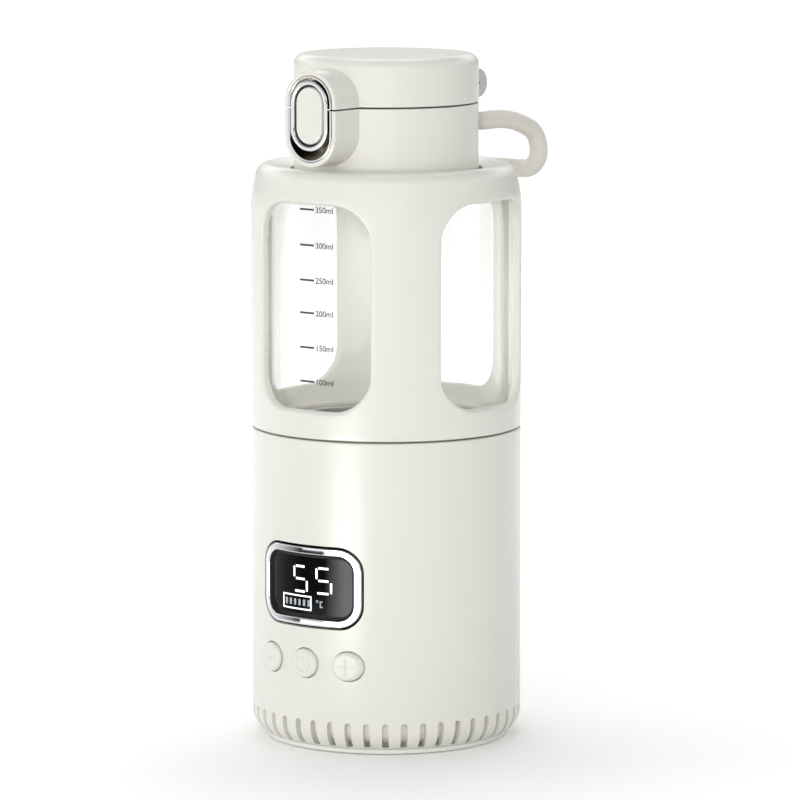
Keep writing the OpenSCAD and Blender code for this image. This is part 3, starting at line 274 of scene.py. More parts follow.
def cut_out(shape, cutter):
    # The shape less the cutter
    held = []
    for part in (shape, cutter):
        bmesh.ops.remove_doubles(part, verts=part.verts, dist=0.001)
        bmesh.ops.recalc_face_normals(part, faces=part.faces)
        mesh = bpy.data.meshes.new("blank")
        part.to_mesh(mesh)
        part.free()
        held.append(bpy.data.objects.new("blank", mesh))
        scene.collection.objects.link(held[-1])
    saw = held[0].modifiers.new("saw", "BOOLEAN")
    saw.operation = "DIFFERENCE"
    saw.solver = "EXACT"
    saw.object = held[1]
    cut = worked_out(held[0])
    for blank in held:
        bpy.data.objects.remove(blank)
    return cut


lower_edge = arc(edge_mid, edge_z, edge_r, -58, 0, 10)
shell = turned([(foot_in, base_foot), *lower_edge, (base_r, base_top, 0.6), (base_in, base_top, 0.2),
                (base_in, base_floor, 5.6), (foot_in, base_floor)], steps=360)
vents = bmesh.new()
slot = [vents.verts.new((vent_in, s * vent_w / 2, z))
        for s, z in ((-1, vent_low), (1, vent_low), (1, vent_high), (-1, vent_high))]
vents.faces.new(slot)
round_corners(vents, slot[2:], vent_w / 2, 6)
bmesh.ops.remove_doubles(vents, verts=vents.verts, dist=0.001)
push(vents, vents.faces[:], (vent_depth, 0, 0))
turn(vents, 180 / vent_count - 90, "Z")
bmesh.ops.spin(vents, geom=whole(vents), cent=(0, 0, 0), axis=(0, 0, 1), dvec=(0, 0, 0),
               angle=math.tau * (vent_count - 1) / vent_count, steps=vent_count - 1, use_duplicate=True)
openings = [slab(inlet_w, inlet_h, inlet_h / 2, cut_near, cut_far, 0, socket_z),
            slab(display_w + 2 * display_groove, display_h + 2 * display_groove,
                 display_corner + display_groove, -cut_far, -cut_near, 0, display_z)]
for side in (-1, 0, 1):
    openings.append(slab(button_w + 2 * button_gap, button_h + 2 * button_gap, button_h / 2 + button_gap,
                         -cut_far, -cut_near, side * button_step, button_z))
shell = cut_out(shell, join(vents, *openings))
fit_piece("base_body", shell, cream_abs, "base", ["base_shell"])

# Vent screen
# A strip of pale non-woven cloth, heat staked inside the wall behind the slots, that keeps dust out
# of the base.
cloth_out = 5.55
cloth_in = 5.1
cloth_low = -66
cloth_top = 12.4
# Non-woven polyester: fibrous and matt, a little paler than the body
dust_cloth = finish_with_grain("non_woven_polyester", "#f1eee6", "#e8e5dc", 0.4, 0.06, Roughness=0.8)
screen = turned([*arc(edge_mid, edge_z, cloth_out, cloth_low, 0, 11), (edge_mid + cloth_out, cloth_top),
                 (edge_mid + cloth_in, cloth_top), *arc(edge_mid, edge_z, cloth_in, 0, cloth_low, 11)],
                steps=180)
fit_piece("vent_screen", screen, dust_cloth, "base", [])

# Battery pack
# Four lithium cells in shrink wrap stand in a moulded tray, and a clamp of the same polypropylene
# holds them down.

# Shrink-wrap PVC over the cells: saturated and glossy
cell_wrap = finish_with_grain("shrink_wrap_pvc", "#2f6f8f", "#2b6886", 0.8, 0.004, Roughness=0.3)
# Polypropylene, injection moulded: a waxy off-white with a soft sheen
natural_pp = finish_with_grain("moulded_polypropylene", "#e6e3da", "#dfdcd2", 0.4, 0.004, Roughness=0.5)
dress(cell_wrap, "battery_cells")
dress(natural_pp, "cell_tray", "cell_clamp")

# Control board
# A glass-epoxy board stands in two rails behind the front wall. It carries the driver parts, the
# three tact switches and the display module; a second small board holds the charge inlet.

# Glass-epoxy laminate under green solder mask: fine weave, smooth lacquer
green_laminate = finish_with_grain("solder_masked_laminate", "#1f6a42", "#18583a", 0.5, 0.006,
                                   Roughness=0.35)
# Filled black nylon and epoxy of the parts: dull, fine grit
black_nylon = finish_with_grain("filled_black_nylon", "#2b2b2d", "#242426", 0.3, 0.006, Roughness=0.55)
# White polycarbonate of the display module: smooth, semi-matt
white_pc = finish_with_grain("white_polycarbonate", "#e4e4e0", "#dcdcd7", 0.4, 0.003, Roughness=0.4)
dress(green_laminate, "control_board", "charge_board")
dress(black_nylon, "board_parts", "board_switches")
dress(white_pc, "display_module")

# Charge inlet
# A drawn steel shell with a flat contact tongue, soldered to the small board and sunk in a slot
# low in the back of the base.
socket_w = 9
socket_h = 3.3
socket_front = 44
socket_back = 37.2
socket_skin = 0.35
socket_floor = 1
tongue_w = 6.5
tongue_h = 0.8
inlet_shell = plate(socket_w, socket_h, socket_h / 2, socket_back, 0, socket_z)
mouth = push(inlet_shell, inlet_shell.faces[:], (0, socket_front - socket_back, 0))
bmesh.ops.inset_region(inlet_shell, faces=mouth, thickness=socket_skin, use_even_offset=True)
push(inlet_shell, mouth, (0, socket_floor - (socket_front - socket_back), 0))
tongue = slab(tongue_w, tongue_h, 0.2, socket_back + socket_floor / 2, socket_front - 1, 0, socket_z)
# Stainless steel sheet, drawn and polished: bright with faint drawing marks
bright_steel = finish_with_grain("drawn_stainless_steel", "#c8c7c4", "#bab9b6", 0.5, 0.002,
                                 Roughness=0.22, Metallic=1)
fit_piece("charge_inlet_shell", join(inlet_shell, tongue), bright_steel, "base",
          ["charge_socket"])

# Display
# A smoked acrylic window, bent to the base and framed by a chrome-plated ABS bezel that clips in
# from the front. Lit segments behind it show the water's temperature and the battery's charge.
lens_face = 43.4
lens_back = 42.1
lens_gap = 0.1
bezel_front = 44.8
bezel_back = 43.5
bezel_band = 2.25
# Inset, width and depth of the black band of painted shade round the window's edge
edge_shade_in = bezel_band - 0.3
edge_shade_band = 1.5
edge_shade_depth = 0.05


def wrap(shape):
    # Bends upright sheets round the axis of the cup: y becomes the radius
    for v in shape.verts:
        v.co.y = -math.sqrt(v.co.y ** 2 - v.co.x ** 2)
    return shape


def bend(shape, strip=1.5):
    # Cuts the shape into upright strips before it is bent
    reach = int(max(abs(v.co.x) for v in shape.verts) / strip)
    for i in range(-reach, reach + 1):
        bmesh.ops.bisect_plane(shape, geom=whole(shape), plane_co=(i * strip, 0, 0), plane_no=(1, 0, 0),
                               dist=0.0005)
    return wrap(shape)


def soften(shape, radius, chosen, segments=4):
    # Rounds every sharp edge whose two ends pass the test
    edges = [e for e in shape.edges if len(e.link_faces) == 2 and e.calc_face_angle() > 0.5
             and chosen(e.verts[0].co, e.verts[1].co)]
    bmesh.ops.bevel(shape, geom=edges, offset=radius, offset_type="OFFSET", segments=segments,
                    profile=0.5, affect="EDGES", material=-1)


def soften_front(shape, radius, front, segments=4):
    # Rounds the edges in the front plane
    soften(shape, radius, lambda a, b: max(a.y, b.y) < -front + 0.01, segments)


def border(w, h, corner, band, back, front, z):
    # Upright frame: a plate without its middle, pushed from back to front
    shape = plate(w, h, corner, -back, 0, z)
    opening = shape.faces[:]
    sides = bmesh.ops.inset_region(shape, faces=opening, thickness=band, use_even_offset=True,
                                   use_boundary=True)["faces"]
    bmesh.ops.delete(shape, geom=opening, context="FACES_ONLY")
    push(shape, sides, (0, back - front, 0))
    return shape


window = slab(display_w - 2 * lens_gap, display_h - 2 * lens_gap, display_corner - lens_gap, -lens_back,
              -lens_face, 0, display_z)
# Acrylic tinted almost black, cast and polished: a mirror-smooth dark sheet
smoked_acrylic = finish_with_grain("smoked_acrylic", "#0d0e10", "#0b0c0e", 2, 0.0005, Roughness=0.08,
                                   IOR=1.25)
fit_piece("display_window", bend(window), smoked_acrylic, "base", ["display_lens"])

bezel = border(display_w, display_h, display_corner, bezel_band, bezel_back, bezel_front, display_z)
soften_front(bezel, 0.35, bezel_front)
# Chrome plating over moulded ABS: a near mirror, very slightly grey
chrome = finish_with_grain("chrome_plated_abs", "#e4e5e7", "#dfe0e2", 3, 0.0004, Roughness=0.07,
                           Metallic=1)
fit_piece("display_bezel", bend(bezel), chrome, "base", ["display_frame"])

edge_shade = border(display_w - 2 * edge_shade_in, display_h - 2 * edge_shade_in, display_corner - edge_shade_in, edge_shade_band,
              lens_face, lens_face + edge_shade_depth, display_z)
# Dull, dense black band round the edge of the window: painted shade, standing in for the dark reflection
# of the bezel's inner wall along the window's edge
painted_edge_shade = finish_with_grain("painted_edge_shade_black", "#0c0c0d", "#09090a", 0.3, 0.001, Roughness=0.7)
fit_piece("window_edge_shade", bend(edge_shade), painted_edge_shade, "base", [])

segment_w = 0.75
sign_depth = 0.06
figure_low = 52.9
figure_high = 61.9
bar_left = -9.6
bar_w = 0.9
bar_step = 1.95
bar_low = 48.5
bar_high = 50.6


def sheet_of(spans, depth, y):
    # Thin flat strokes given as (left, right, low, high), set on one upright plane
    shape = bmesh.new()
    for x0, x1, z0, z1 in spans:
        shape.faces.new([shape.verts.new((x, y, z)) for x, z in ((x0, z0), (x1, z0), (x1, z1), (x0, z1))])
    push(shape, shape.faces[:], (0, -depth, 0))
    return shape


def five(left, right, low, high):
    # The figure 5 from five bars of a seven-segment sign
    mid = (low + high) / 2
    t = segment_w
    step = 0.5
    return [(left + 1.1, right - 1.3, high - t, high), (left, left + t, mid + step, high - step),
            (left + 1.1, right - 1.3, mid - t / 2, mid + t / 2),
            (right - t, right, low + step, mid - step), (left + 0.7, right - 1.3, low, low + t)]


def ring_of(x0, x1, z0, z1, line):
    return [(x0, x1, z0, z0 + line), (x0, x1, z1 - line, z1), (x0, x0 + line, z0 + line, z1 - line),
            (x1 - line, x1, z0 + line, z1 - line)]


# Light-emitting segments under a diffuser: even, slightly cool white
lit_segment = finish_with_grain("lit_segments", "#f4f6f8", "#eef1f4", 1, 0.001, Roughness=0.5,
                                Emission_Color=linear("#eef2f6"), Emission_Strength=0.85)
# The same segments at a low drive level
dim_segment = finish_with_grain("dim_segments", "#9aa0a6", "#949aa0", 1, 0.001, Roughness=0.5,
                                Emission_Color=linear("#aeb4ba"), Emission_Strength=0.35)
figures = five(-5.9, 0.2, figure_low, figure_high) + five(3.3, 9.4, figure_low, figure_high)
battery_case = ring_of(-10.9, 1.7, 47.1, 52.0, 0.5)
signs = sheet_of(figures + battery_case, sign_depth, -lens_face)
fit_piece("lit_figures", bend(signs), lit_segment, "base", [])
charge = [(bar_left + bar_step * i, bar_left + bar_w + bar_step * i, bar_low, bar_high) for i in range(6)]
degree_sign = ring_of(3.5, 4.3, 50.1, 50.9, 0.22)
unit_letter = [(4.9, 6, 50.3, 50.7), (4.9, 5.3, 48.9, 50.3), (4.9, 6, 48.5, 48.9)]
bars = sheet_of(charge + degree_sign + unit_letter, sign_depth, -lens_face)
fit_piece("charge_bars", bend(bars), dim_segment, "base", [])

# Press buttons
# Three round ABS caps with a domed front, a flange behind the wall and a stem that reaches a tact
# switch. Each slides straight in; its sign is pad printed in a faint grey.
button_front = 46.2
button_edge = 1.3
flange_back = 40.4
flange_front = 41.7
flange_w = 1.5
stem_r = 2
stem_tip_r = 1.8
stem_root = 0.4
stem_end = 31.9
sign_line = 0.42
half_line = sign_line / 2
minus_half = 2.4
plus_half = 2.9
power_r = 2.5
power_gap = 0.6
power_bar_low = 0.5
power_bar_high = 3.1


def press_button(x):
    cap = plate(button_w + 2 * flange_w, button_h + 2 * flange_w, button_h / 2 + flange_w,
                -flange_back, x, button_z)
    face = push(cap, cap.faces[:], (0, flange_back - flange_front, 0))
    bmesh.ops.inset_region(cap, faces=face, thickness=flange_w, use_even_offset=True)
    push(cap, face, (0, flange_front - button_front, 0))
    soften_front(cap, button_edge, button_front, 6)
    bend(cap, 1)
    root = math.sqrt(flange_back ** 2 - x ** 2) + stem_root
    stem = bmesh.new()
    bmesh.ops.create_cone(stem, cap_ends=True, segments=32, radius1=stem_r, radius2=stem_tip_r,
                          depth=root - stem_end)
    return join(cap, turn(stem, -90, "X", (x, -(root + stem_end) / 2, button_z)))


# Pale grey ink of the signs, pad printed: flat and thin
sign_ink = finish_with_grain("pad_printed_grey_ink", "#dad8d0", "#d6d4cc", 0.3, 0.001, Roughness=0.5)
minus_sign = sheet_of([(-button_step - minus_half, -button_step + minus_half, button_z - half_line,
                        button_z + half_line)], sign_depth, -button_front)
plus_sign = sheet_of([(button_step - plus_half, button_step + plus_half, button_z - half_line,
                       button_z + half_line),
                      (button_step - half_line, button_step + half_line, button_z - plus_half,
                       button_z - half_line),
                      (button_step - half_line, button_step + half_line, button_z + half_line,
                       button_z + plus_half)], sign_depth, -button_front)
power_sign = bmesh.new()
rim = [power_sign.verts.new((r * math.sin(power_gap), -button_front, button_z + r * math.cos(power_gap)))
       for r in (power_r, power_r + sign_line)]
bmesh.ops.spin(power_sign, geom=[*rim, power_sign.edges.new(rim)], cent=(0, -button_front, button_z),
               axis=(0, 1, 0), dvec=(0, 0, 0), angle=math.tau - 2 * power_gap, steps=32)
push(power_sign, power_sign.faces[:], (0, -sign_depth, 0))
join(power_sign, sheet_of([(-half_line, half_line, button_z + power_bar_low, button_z + power_bar_high)],
                          sign_depth, -button_front))
for label, body, x, sign in (("minus", "minus_key", -button_step, minus_sign),
                             ("power", "power_key", 0, power_sign),
                             ("plus", "plus_key", button_step, plus_sign)):
    fit_piece(label + "_cap", press_button(x), cream_abs, body, [label + "_button"])
    fit_piece(label + "_sign", bend(sign, 1), sign_ink, body, [])

# Heating deck
# A polypropylene ring with a thread for the cup, and a stainless steel pan pressed in its middle.
# Below the pan lie an aluminium heater plate, a mica shield, a sensor and a thermal cutout.
pan_r = 34.5
pan_rim_r = 36.2
pan_top = 105.8
pan_floor = 99.4
pan_sheet = 0.9
pan = turned([(0, pan_floor), (pan_r, pan_floor, 2.2), (pan_r, pan_top - pan_sheet, 0.1),
              (pan_rim_r, pan_top - pan_sheet, 0.2), (pan_rim_r, pan_top, 0.4),
              (pan_r - pan_sheet, pan_top, 0.8), (pan_r - pan_sheet, pan_floor + pan_sheet, 1.6),
              (0, pan_floor + pan_sheet)], closed=False)
# Aluminium, die cast: pale grey, matt
cast_aluminium = finish_with_grain("cast_aluminium", "#b9bbbd", "#adafb2", 0.6, 0.01, Roughness=0.45,
                                   Metallic=1)
# Pressed mica sheet: brown and flaky
mica_sheet = finish_with_grain("pressed_mica", "#b79f74", "#a58b60", 3, 0.02, Roughness=0.5)
fit_piece("steel_pan", pan, bright_steel, "base", ["heating_pan"])
dress(natural_pp, "deck_ring")
dress(cast_aluminium, "heater_plate")
dress(mica_sheet, "heat_shield")
dress(black_nylon, "temperature_sensor", "thermal_cutout")

# Pan gasket
# A silicone ring with two wiping lips, stretched round the pan's rim, that seals the foot of the
# glass when the cup is screwed down.
gasket = turned([(36.4, 100.4, 0.2), (37.9, 100.4, 0.3), (37.7, 102.4, 0.2), (37.95, 103.6, 0.3),
                 (37.7, 104.8, 0.2), (37.95, 106, 0.3), (37.7, 106.8, 0.2), (36.4, 106.8, 0.3)])
fit_piece("pan_gasket_ring", gasket, silicone, "pan_gasket", ["cup_seal"])

# Glass
# A blown borosilicate jar with straight walls, open at the foot and drawn in to a short neck. It
# stands on a threaded seat ring and is held down by the neck ring and a thin washer.
glass_r = 40.4
glass_in = 38.1
glass_foot = 106
glass_top = 184.75
glass_ceiling = 182.45
neck_r = 23.5
neck_in = 21.2
neck_top = 201.1
washer_in = 25.6
washer_r = 34
washer_low = 184.8
washer_top = 185.5
jar = turned([(glass_in, glass_foot, 0.5), (glass_r, glass_foot, 0.5), (glass_r, glass_top, 6.3),
              (neck_r, glass_top, 0.6), (neck_r, neck_top, 0.9), (neck_in, neck_top, 0.9),
              (neck_in, glass_ceiling, 2), (glass_in, glass_ceiling, 4)], steps=192)
# Borosilicate glass, blown and fire polished: clear with a faint green at its edges
clear_glass = bpy.data.materials.new("fire_polished_borosilicate")
clear_glass.use_nodes = True
jar_tree = clear_glass.node_tree
jar_skin = jar_tree.nodes["Principled BSDF"]
jar_skin.inputs["Transmission Weight"].default_value = 1
jar_skin.inputs["IOR"].default_value = 1.47
jar_skin.inputs["Roughness"].default_value = 0
jar_skin.inputs["Base Color"].default_value = linear("#ffffff")
jar_tint = add(jar_tree, "ShaderNodeVolumeAbsorption", {"Color": linear("#b8bdb2"), "Density": 60.0})
jar_tree.links.new(jar_tint.outputs[0], jar_tree.nodes["Material Output"].inputs["Volume"])
jar_place = add(jar_tree, "ShaderNodeTexCoord", {})
jar_waves = add(jar_tree, "ShaderNodeTexNoise", {"Vector": (jar_place, "Object"), "Scale": 1000 / 25})
jar_relief = add(jar_tree, "ShaderNodeBump", {"Height": (jar_waves, "Fac"), "Distance": 0.00004})
jar_tree.links.new(jar_relief.outputs["Normal"], jar_skin.inputs["Normal"])
glass_piece = fit_piece("glass_jar", jar, clear_glass, "cup", ["glass"])
glass_piece.visible_shadow = False
glass_piece.visible_diffuse = False
washer = turned([(washer_in, washer_low, 0.2), (washer_r, washer_low, 0.3), (washer_r, washer_top, 0.2),
                 (washer_in, washer_top, 0.2)])
fit_piece("neck_gasket", washer, silicone, "cup", ["neck_washer"])
dress(natural_pp, "seat_ring", "neck_ring")

# Volume scale
# Lines and numerals in dark ceramic ink, screen printed on the outside of the glass and fired,
# one line for each 50 ml.
scale_heights = [122.1, 133.2, 144.5, 155.2, 166.6, 178.2]
scale_labels = ["100ml", "150ml", "200ml", "250ml", "300ml", "350ml"]
ink_r = glass_r + 0.03
ink_depth = 0.02
tick_left = -5.2
tick_right = 0.8
tick_h = 0.65
numeral_left = 1.3
numeral_h = 1.9
numeral_share = 0.7


def numerals(text, height, x, z):
    # Thin lettering, upright on the front plane of the glass; figures fill a share of the type size
    letters = bpy.data.curves.new("numerals", "FONT")
    letters.body = text
    letters.size = height / numeral_share
    letters.resolution_u = 3
    letters.offset = 0.04
    held = bpy.data.objects.new("numerals", letters)
    scene.collection.objects.link(held)
    shape = worked_out(held)
    bpy.data.objects.remove(held)
    return turn(shape, 90, "X", (x, -ink_r, z))


marks = sheet_of([(tick_left, tick_right, z - tick_h / 2, z + tick_h / 2) for z in scale_heights],
                 ink_depth, -ink_r)
for z, label in zip(scale_heights, scale_labels):
    join(marks, numerals(label, numeral_h, numeral_left, z - numeral_h / 2))
# Ceramic ink, screen printed and fired: flat charcoal
ceramic_ink = finish_with_grain("fired_ceramic_ink", "#3e4040", "#383a3a", 0.3, 0.001, Roughness=0.5)
fit_piece("volume_scale", bend(marks), ceramic_ink, "cup", [])

# Sleeve
# One ABS moulding that guards the glass: a skirt with four rounded windows that leans in at the
# top to a soft shoulder and a dish round the collar. The neck ring clamps it on the seat ring.
sleeve_r = 44.6
sleeve_in = 41.6
skirt_low = 104.5
skirt_high = 185.1
skirt_foot = 103.9
skirt_corner = 0.002
window_half = 21.62
window_low = 113
window_high = 180
window_corner = 12
edge_out = 1.6
edge_in = 0.5
taper_z = 179.3
taper_slope = 0.1846
bend_h = 3
shoulder_r = 4.2
ceiling_r = 1.8
dish_in = 31.6
dish_low = 186.9


def window_rim(shape, half, low, high, corner, r):
    # A closed line of edges with round corners, upright at the front
    corners = [shape.verts.new((s * half, -r, z)) for s, z in ((-1, low), (1, low), (1, high), (-1, high))]
    before = set(shape.faces)
    shape.faces.new(corners)
    round_corners(shape, corners, corner, 8)
    sheet = [face for face in shape.faces if face not in before]
    sides = sorted(sheet[0].edges, key=lambda e: -e.calc_length())[:4]
    bmesh.ops.subdivide_edges(shape, edges=sides, cuts=15)
    rim = sheet[0].edges[:]
    bmesh.ops.delete(shape, geom=sheet, context="FACES_ONLY")
    return rim


def rim_at(shape, r, z):
    return [e for e in shape.edges if e.is_boundary
            and all(abs(v.co.z - z) < 0.01 and abs(v.co.xy.length - r) < 0.02 for v in e.verts)]


def carry_on(shape, rim, outline):
    # Extrudes a round rim through steps of (radius, height)
    for r, z in outline:
        made = bmesh.ops.extrude_edge_only(shape, edges=rim)["geom"]
        rim = [e for e in only(bmesh.types.BMEdge, made) if e.is_boundary]
        ring = only(bmesh.types.BMVert, made)
        k = r / ring[0].co.xy.length
        bmesh.ops.scale(shape, verts=ring, vec=(k, k, 1))
        bmesh.ops.translate(shape, verts=ring, vec=(0, 0, z - ring[0].co.z))


# A quarter of the skirt, from its outer border over the rounded window edge to its inner border
quarter = [math.radians(18 * i) for i in range(6)]
edge_steps = [(edge_out * (1 - math.sin(a)), sleeve_r - edge_out * (1 - math.cos(a))) for a in quarter]
edge_steps += [(edge_in * (1 - math.cos(a)), sleeve_in + edge_in * (1 - math.sin(a))) for a in quarter]
sleeve = bmesh.new()
side = math.sin(math.pi / 4)
rims = [window_rim(sleeve, sleeve_r * side, skirt_low, skirt_high, skirt_corner, sleeve_r)]
for grow, r in edge_steps:
    rims.append(window_rim(sleeve, window_half + grow, window_low - grow, window_high + grow,
                           window_corner + grow, r))
rims.append(window_rim(sleeve, sleeve_in * side, skirt_low, skirt_high, skirt_corner, sleeve_in))
for i, (here, there) in enumerate(zip(rims, rims[1:])):
    across = bmesh.ops.bridge_loops(sleeve, edges=here + there)["edges"]
    if i in (0, len(rims) - 2):
        bmesh.ops.subdivide_edges(sleeve, edges=across, cuts=6, use_grid_fill=True)
bmesh.ops.remove_doubles(sleeve, verts=sleeve.verts, dist=0.006)
wrap(sleeve)
# The outside leans in above the taper's start, with a soft bend over 3 mm each way
for v in sleeve.verts:
    r = v.co.xy.length
    up = v.co.z - taper_z
    lean = max(0, up) if abs(up) > bend_h else (up + bend_h) ** 2 / (4 * bend_h)
    k = 1 - taper_slope * lean * (r - sleeve_in) / (sleeve_r - sleeve_in) / r
    bmesh.ops.scale(sleeve, verts=[v], vec=(k, k, 1))
bmesh.ops.spin(sleeve, geom=whole(sleeve), cent=(0, 0, 0), axis=(0, 0, 1), dvec=(0, 0, 0),
               angle=math.pi * 1.5, steps=3, use_duplicate=True)
bmesh.ops.remove_doubles(sleeve, verts=sleeve.verts, dist=0.01)
shoulder = [(43.33, 186.18), *arc(39, 186.5, shoulder_r, 10.46, 98.46, 11)]
dish = [(33.3, 189.55), (32.5, 189.4), (31.9, 189.2), (dish_in, 188.8), (dish_in, dish_low)]
ceiling = arc(sleeve_in - ceiling_r, skirt_high, ceiling_r, 15, 90, 5)
carry_on(sleeve, rim_at(sleeve, sleeve_r - taper_slope * (skirt_high - taper_z), skirt_high),
         shoulder + dish)
carry_on(sleeve, rim_at(sleeve, sleeve_in, skirt_high), ceiling + [(dish_in, dish_low)])
carry_on(sleeve, rim_at(sleeve, sleeve_r, skirt_low),
         [(44.45, 104.1), (44, skirt_foot), (sleeve_in, skirt_foot)])
carry_on(sleeve, rim_at(sleeve, sleeve_in, skirt_low), [(sleeve_in, skirt_foot)])
fit_piece("windowed_sleeve", sleeve, cream_abs, "cup", ["sleeve"])

# Lid liner and seal
# A polypropylene cup with the lid's thread and the pouring spout, welded inside the collar, with a
# silicone ring that meets the lip of the glass.
lid_ring = turned([(20.6, 201.3, 0.4), (22, 201.3, 0.2), (22.4, 201.6, 0.2), (22.8, 201.3, 0.2),
                   (24.95, 201.3, 0.4), (24.95, 203.3, 0.4), (20.6, 203.3, 0.4)])
fit_piece("lid_gasket_ring", lid_ring, silicone, "lid_gasket", ["lid_seal"])
dress(natural_pp, "lid_liner")

# Collar
# The lower half of the lid, moulded in ABS: a straight ring with the lower half of the round-ended
# boss in front, a hinge knuckle behind and two lugs for the carry loop.
lid_r = 30.4
collar_in = 28
collar_low = 188.6
collar_top = 210.5
boss_w = 20.6
boss_h = 31.2
boss_mid = 207.5
boss_root = 28.1
boss_front = 41.7
boss_rim = 1.6
boss_floor = 31.5
pin_y = -34.6
pin_z = 206.1
dimple_r = 0.6
dimple_depth = 0.2
hinge_y = 31.3
hinge_z = 215.6
barrel_r = 4.75
knuckle_half = 6
loop_y = 27.9
loop_z = 203.5
lug_r = 3.2
lug_mid = 14.25
lug_half = 1.5


def rod(radius, x0, x1, y, z, edge=0.3):
    # Round bar along X with softened ends
    shape = bmesh.new()
    bmesh.ops.create_cone(shape, cap_ends=True, segments=64, radius1=radius, radius2=radius, depth=x1 - x0)
    soften(shape, edge, lambda a, b: True, 3)
    return turn(shape, 90, "Y", ((x0 + x1) / 2, y, z))


def block(low, high, edge=0.4):
    # Square bar between two corners with softened edges
    shape = bmesh.new()
    bmesh.ops.create_cube(shape, size=1)
    low, high = Vector(low), Vector(high)
    bmesh.ops.scale(shape, verts=shape.verts, vec=high - low)
    bmesh.ops.translate(shape, verts=shape.verts, vec=(low + high) / 2)
    soften(shape, edge, lambda a, b: True, 2)
    return shape


def level_cut(shape, z, upper):
    # Keeps what lies above or below a height and gives back the edges of the cut
    cut = bmesh.ops.bisect_plane(shape, geom=whole(shape), plane_co=(0, 0, z), plane_no=(0, 0, 1),
                                 clear_inner=upper, clear_outer=not upper)["geom_cut"]
    return only(bmesh.types.BMEdge, cut)


def boss_half(cut_z, upper):
    # The boss with its recess and the dimples of the pin's ends, cut level at the lid's split
    shape = plate(boss_w, boss_h, boss_w / 2, -boss_root, 0, boss_mid)
    front = push(shape, shape.faces[:], (0, boss_root - boss_front, 0))
    bmesh.ops.inset_region(shape, faces=front, thickness=boss_rim, use_even_offset=True)
    push(shape, front, (0, boss_front - boss_floor, 0))
    soften_front(shape, 0.7, boss_front)
    dimple = boss_w / 2 - dimple_depth
    shape = cut_out(shape, join(rod(dimple_r, dimple, boss_w, pin_y, pin_z, 0.1),
                                rod(dimple_r, -boss_w, -dimple, pin_y, pin_z, 0.1)))
    bmesh.ops.edgeloop_fill(shape, edges=level_cut(shape, cut_z, upper))
    return shape


collar = turned([(collar_in, collar_low, 0.2), (lid_r, collar_low, 0.3), (lid_r, collar_top, 0.35),
                 (collar_in, collar_top, 0.2)], steps=192)
join(collar, boss_half(collar_top, False),
     rod(barrel_r, -knuckle_half, knuckle_half, hinge_y, hinge_z, 0.4),
     block((-knuckle_half, hinge_y - barrel_r + 0.2, collar_top - 4), (knuckle_half, 33, hinge_z)))
for side in (-1, 1):
    left, right = side * lug_mid - lug_half, side * lug_mid + lug_half
    join(collar, rod(lug_r, left, right, loop_y, loop_z),
         block((left, 25.4, loop_z - lug_r), (right, loop_y, loop_z + lug_r)))
fit_piece("lid_collar", collar, cream_abs, "lid", ["collar"])

# Recess liners
# Two plated ABS dishes, one in each half of the boss, that line the recess round the release
# button: dark nickel inside, with a bright chrome rim at the mouth.
rim_w = 17.1
rim_h = 27.7
rim_band = 0.5
rim_front = 41.6
rim_back = 41


def mouth_rim(cut_z, upper):
    # Half of the narrow band at the mouth of the recess
    shape = border(rim_w, rim_h, rim_w / 2, rim_band, rim_back, rim_front, boss_mid)
    soften_front(shape, 0.12, rim_front, 2)
    bmesh.ops.holes_fill(shape, edges=level_cut(shape, cut_z, upper))
    return shape


# Dark nickel plating over moulded ABS: a warm grey mirror, a little hazy
dark_nickel = finish_with_grain("dark_nickel_plated_abs", "#bdb8ab", "#b3aea1", 3, 0.0004, Roughness=0.2,
                                Metallic=1)
dress(dark_nickel, "lower_trim", "upper_trim")
fit_piece("lower_mouth_rim", mouth_rim(collar_top, False), chrome, "lid", [])

# Pins and springs of the lid
# Ground steel pins for the latch, the hinge and the loop, with wound springs of music wire: one
# pushes the button out and two flip the cap open.
spring_r = 1.75
latch_wire = 0.5
latch_length = 3.85
latch_place = (0, -34.375, 200.7)
hinge_wire = 0.6
hinge_length = 2.7
hinge_coil_x = 7.45


def coil(wire, length, turns):
    # Wound spring along Z, from its middle
    shape = bmesh.new()
    bmesh.ops.create_circle(shape, segments=10, radius=wire / 2)
    turn(shape, 90, "X", (spring_r, 0, (wire - length) / 2))
    steps = 36 * turns
    bmesh.ops.spin(shape, geom=shape.verts[:] + shape.edges[:], cent=(0, 0, 0), axis=(0, 0, 1),
                   dvec=(0, 0, (length - wire) / steps), angle=math.tau * turns, steps=steps)
    bmesh.ops.holes_fill(shape, edges=[e for e in shape.edges if e.is_boundary])
    return shape


latch_spring = turn(coil(latch_wire, latch_length, 4), 90, "X", latch_place)
fit_piece("latch_coil", latch_spring, zinc_steel, "lid", ["latch_spring"])
hinge_coils = join(*[turn(coil(hinge_wire, hinge_length, 2), 90, "Y", (x, hinge_y, hinge_z))
                     for x in (-hinge_coil_x, hinge_coil_x)])
fit_piece("hinge_coils", hinge_coils, zinc_steel, "lid", ["hinge_springs"])
dress(bright_steel, "latch_pin", "hinge_pin", "loop_pins")

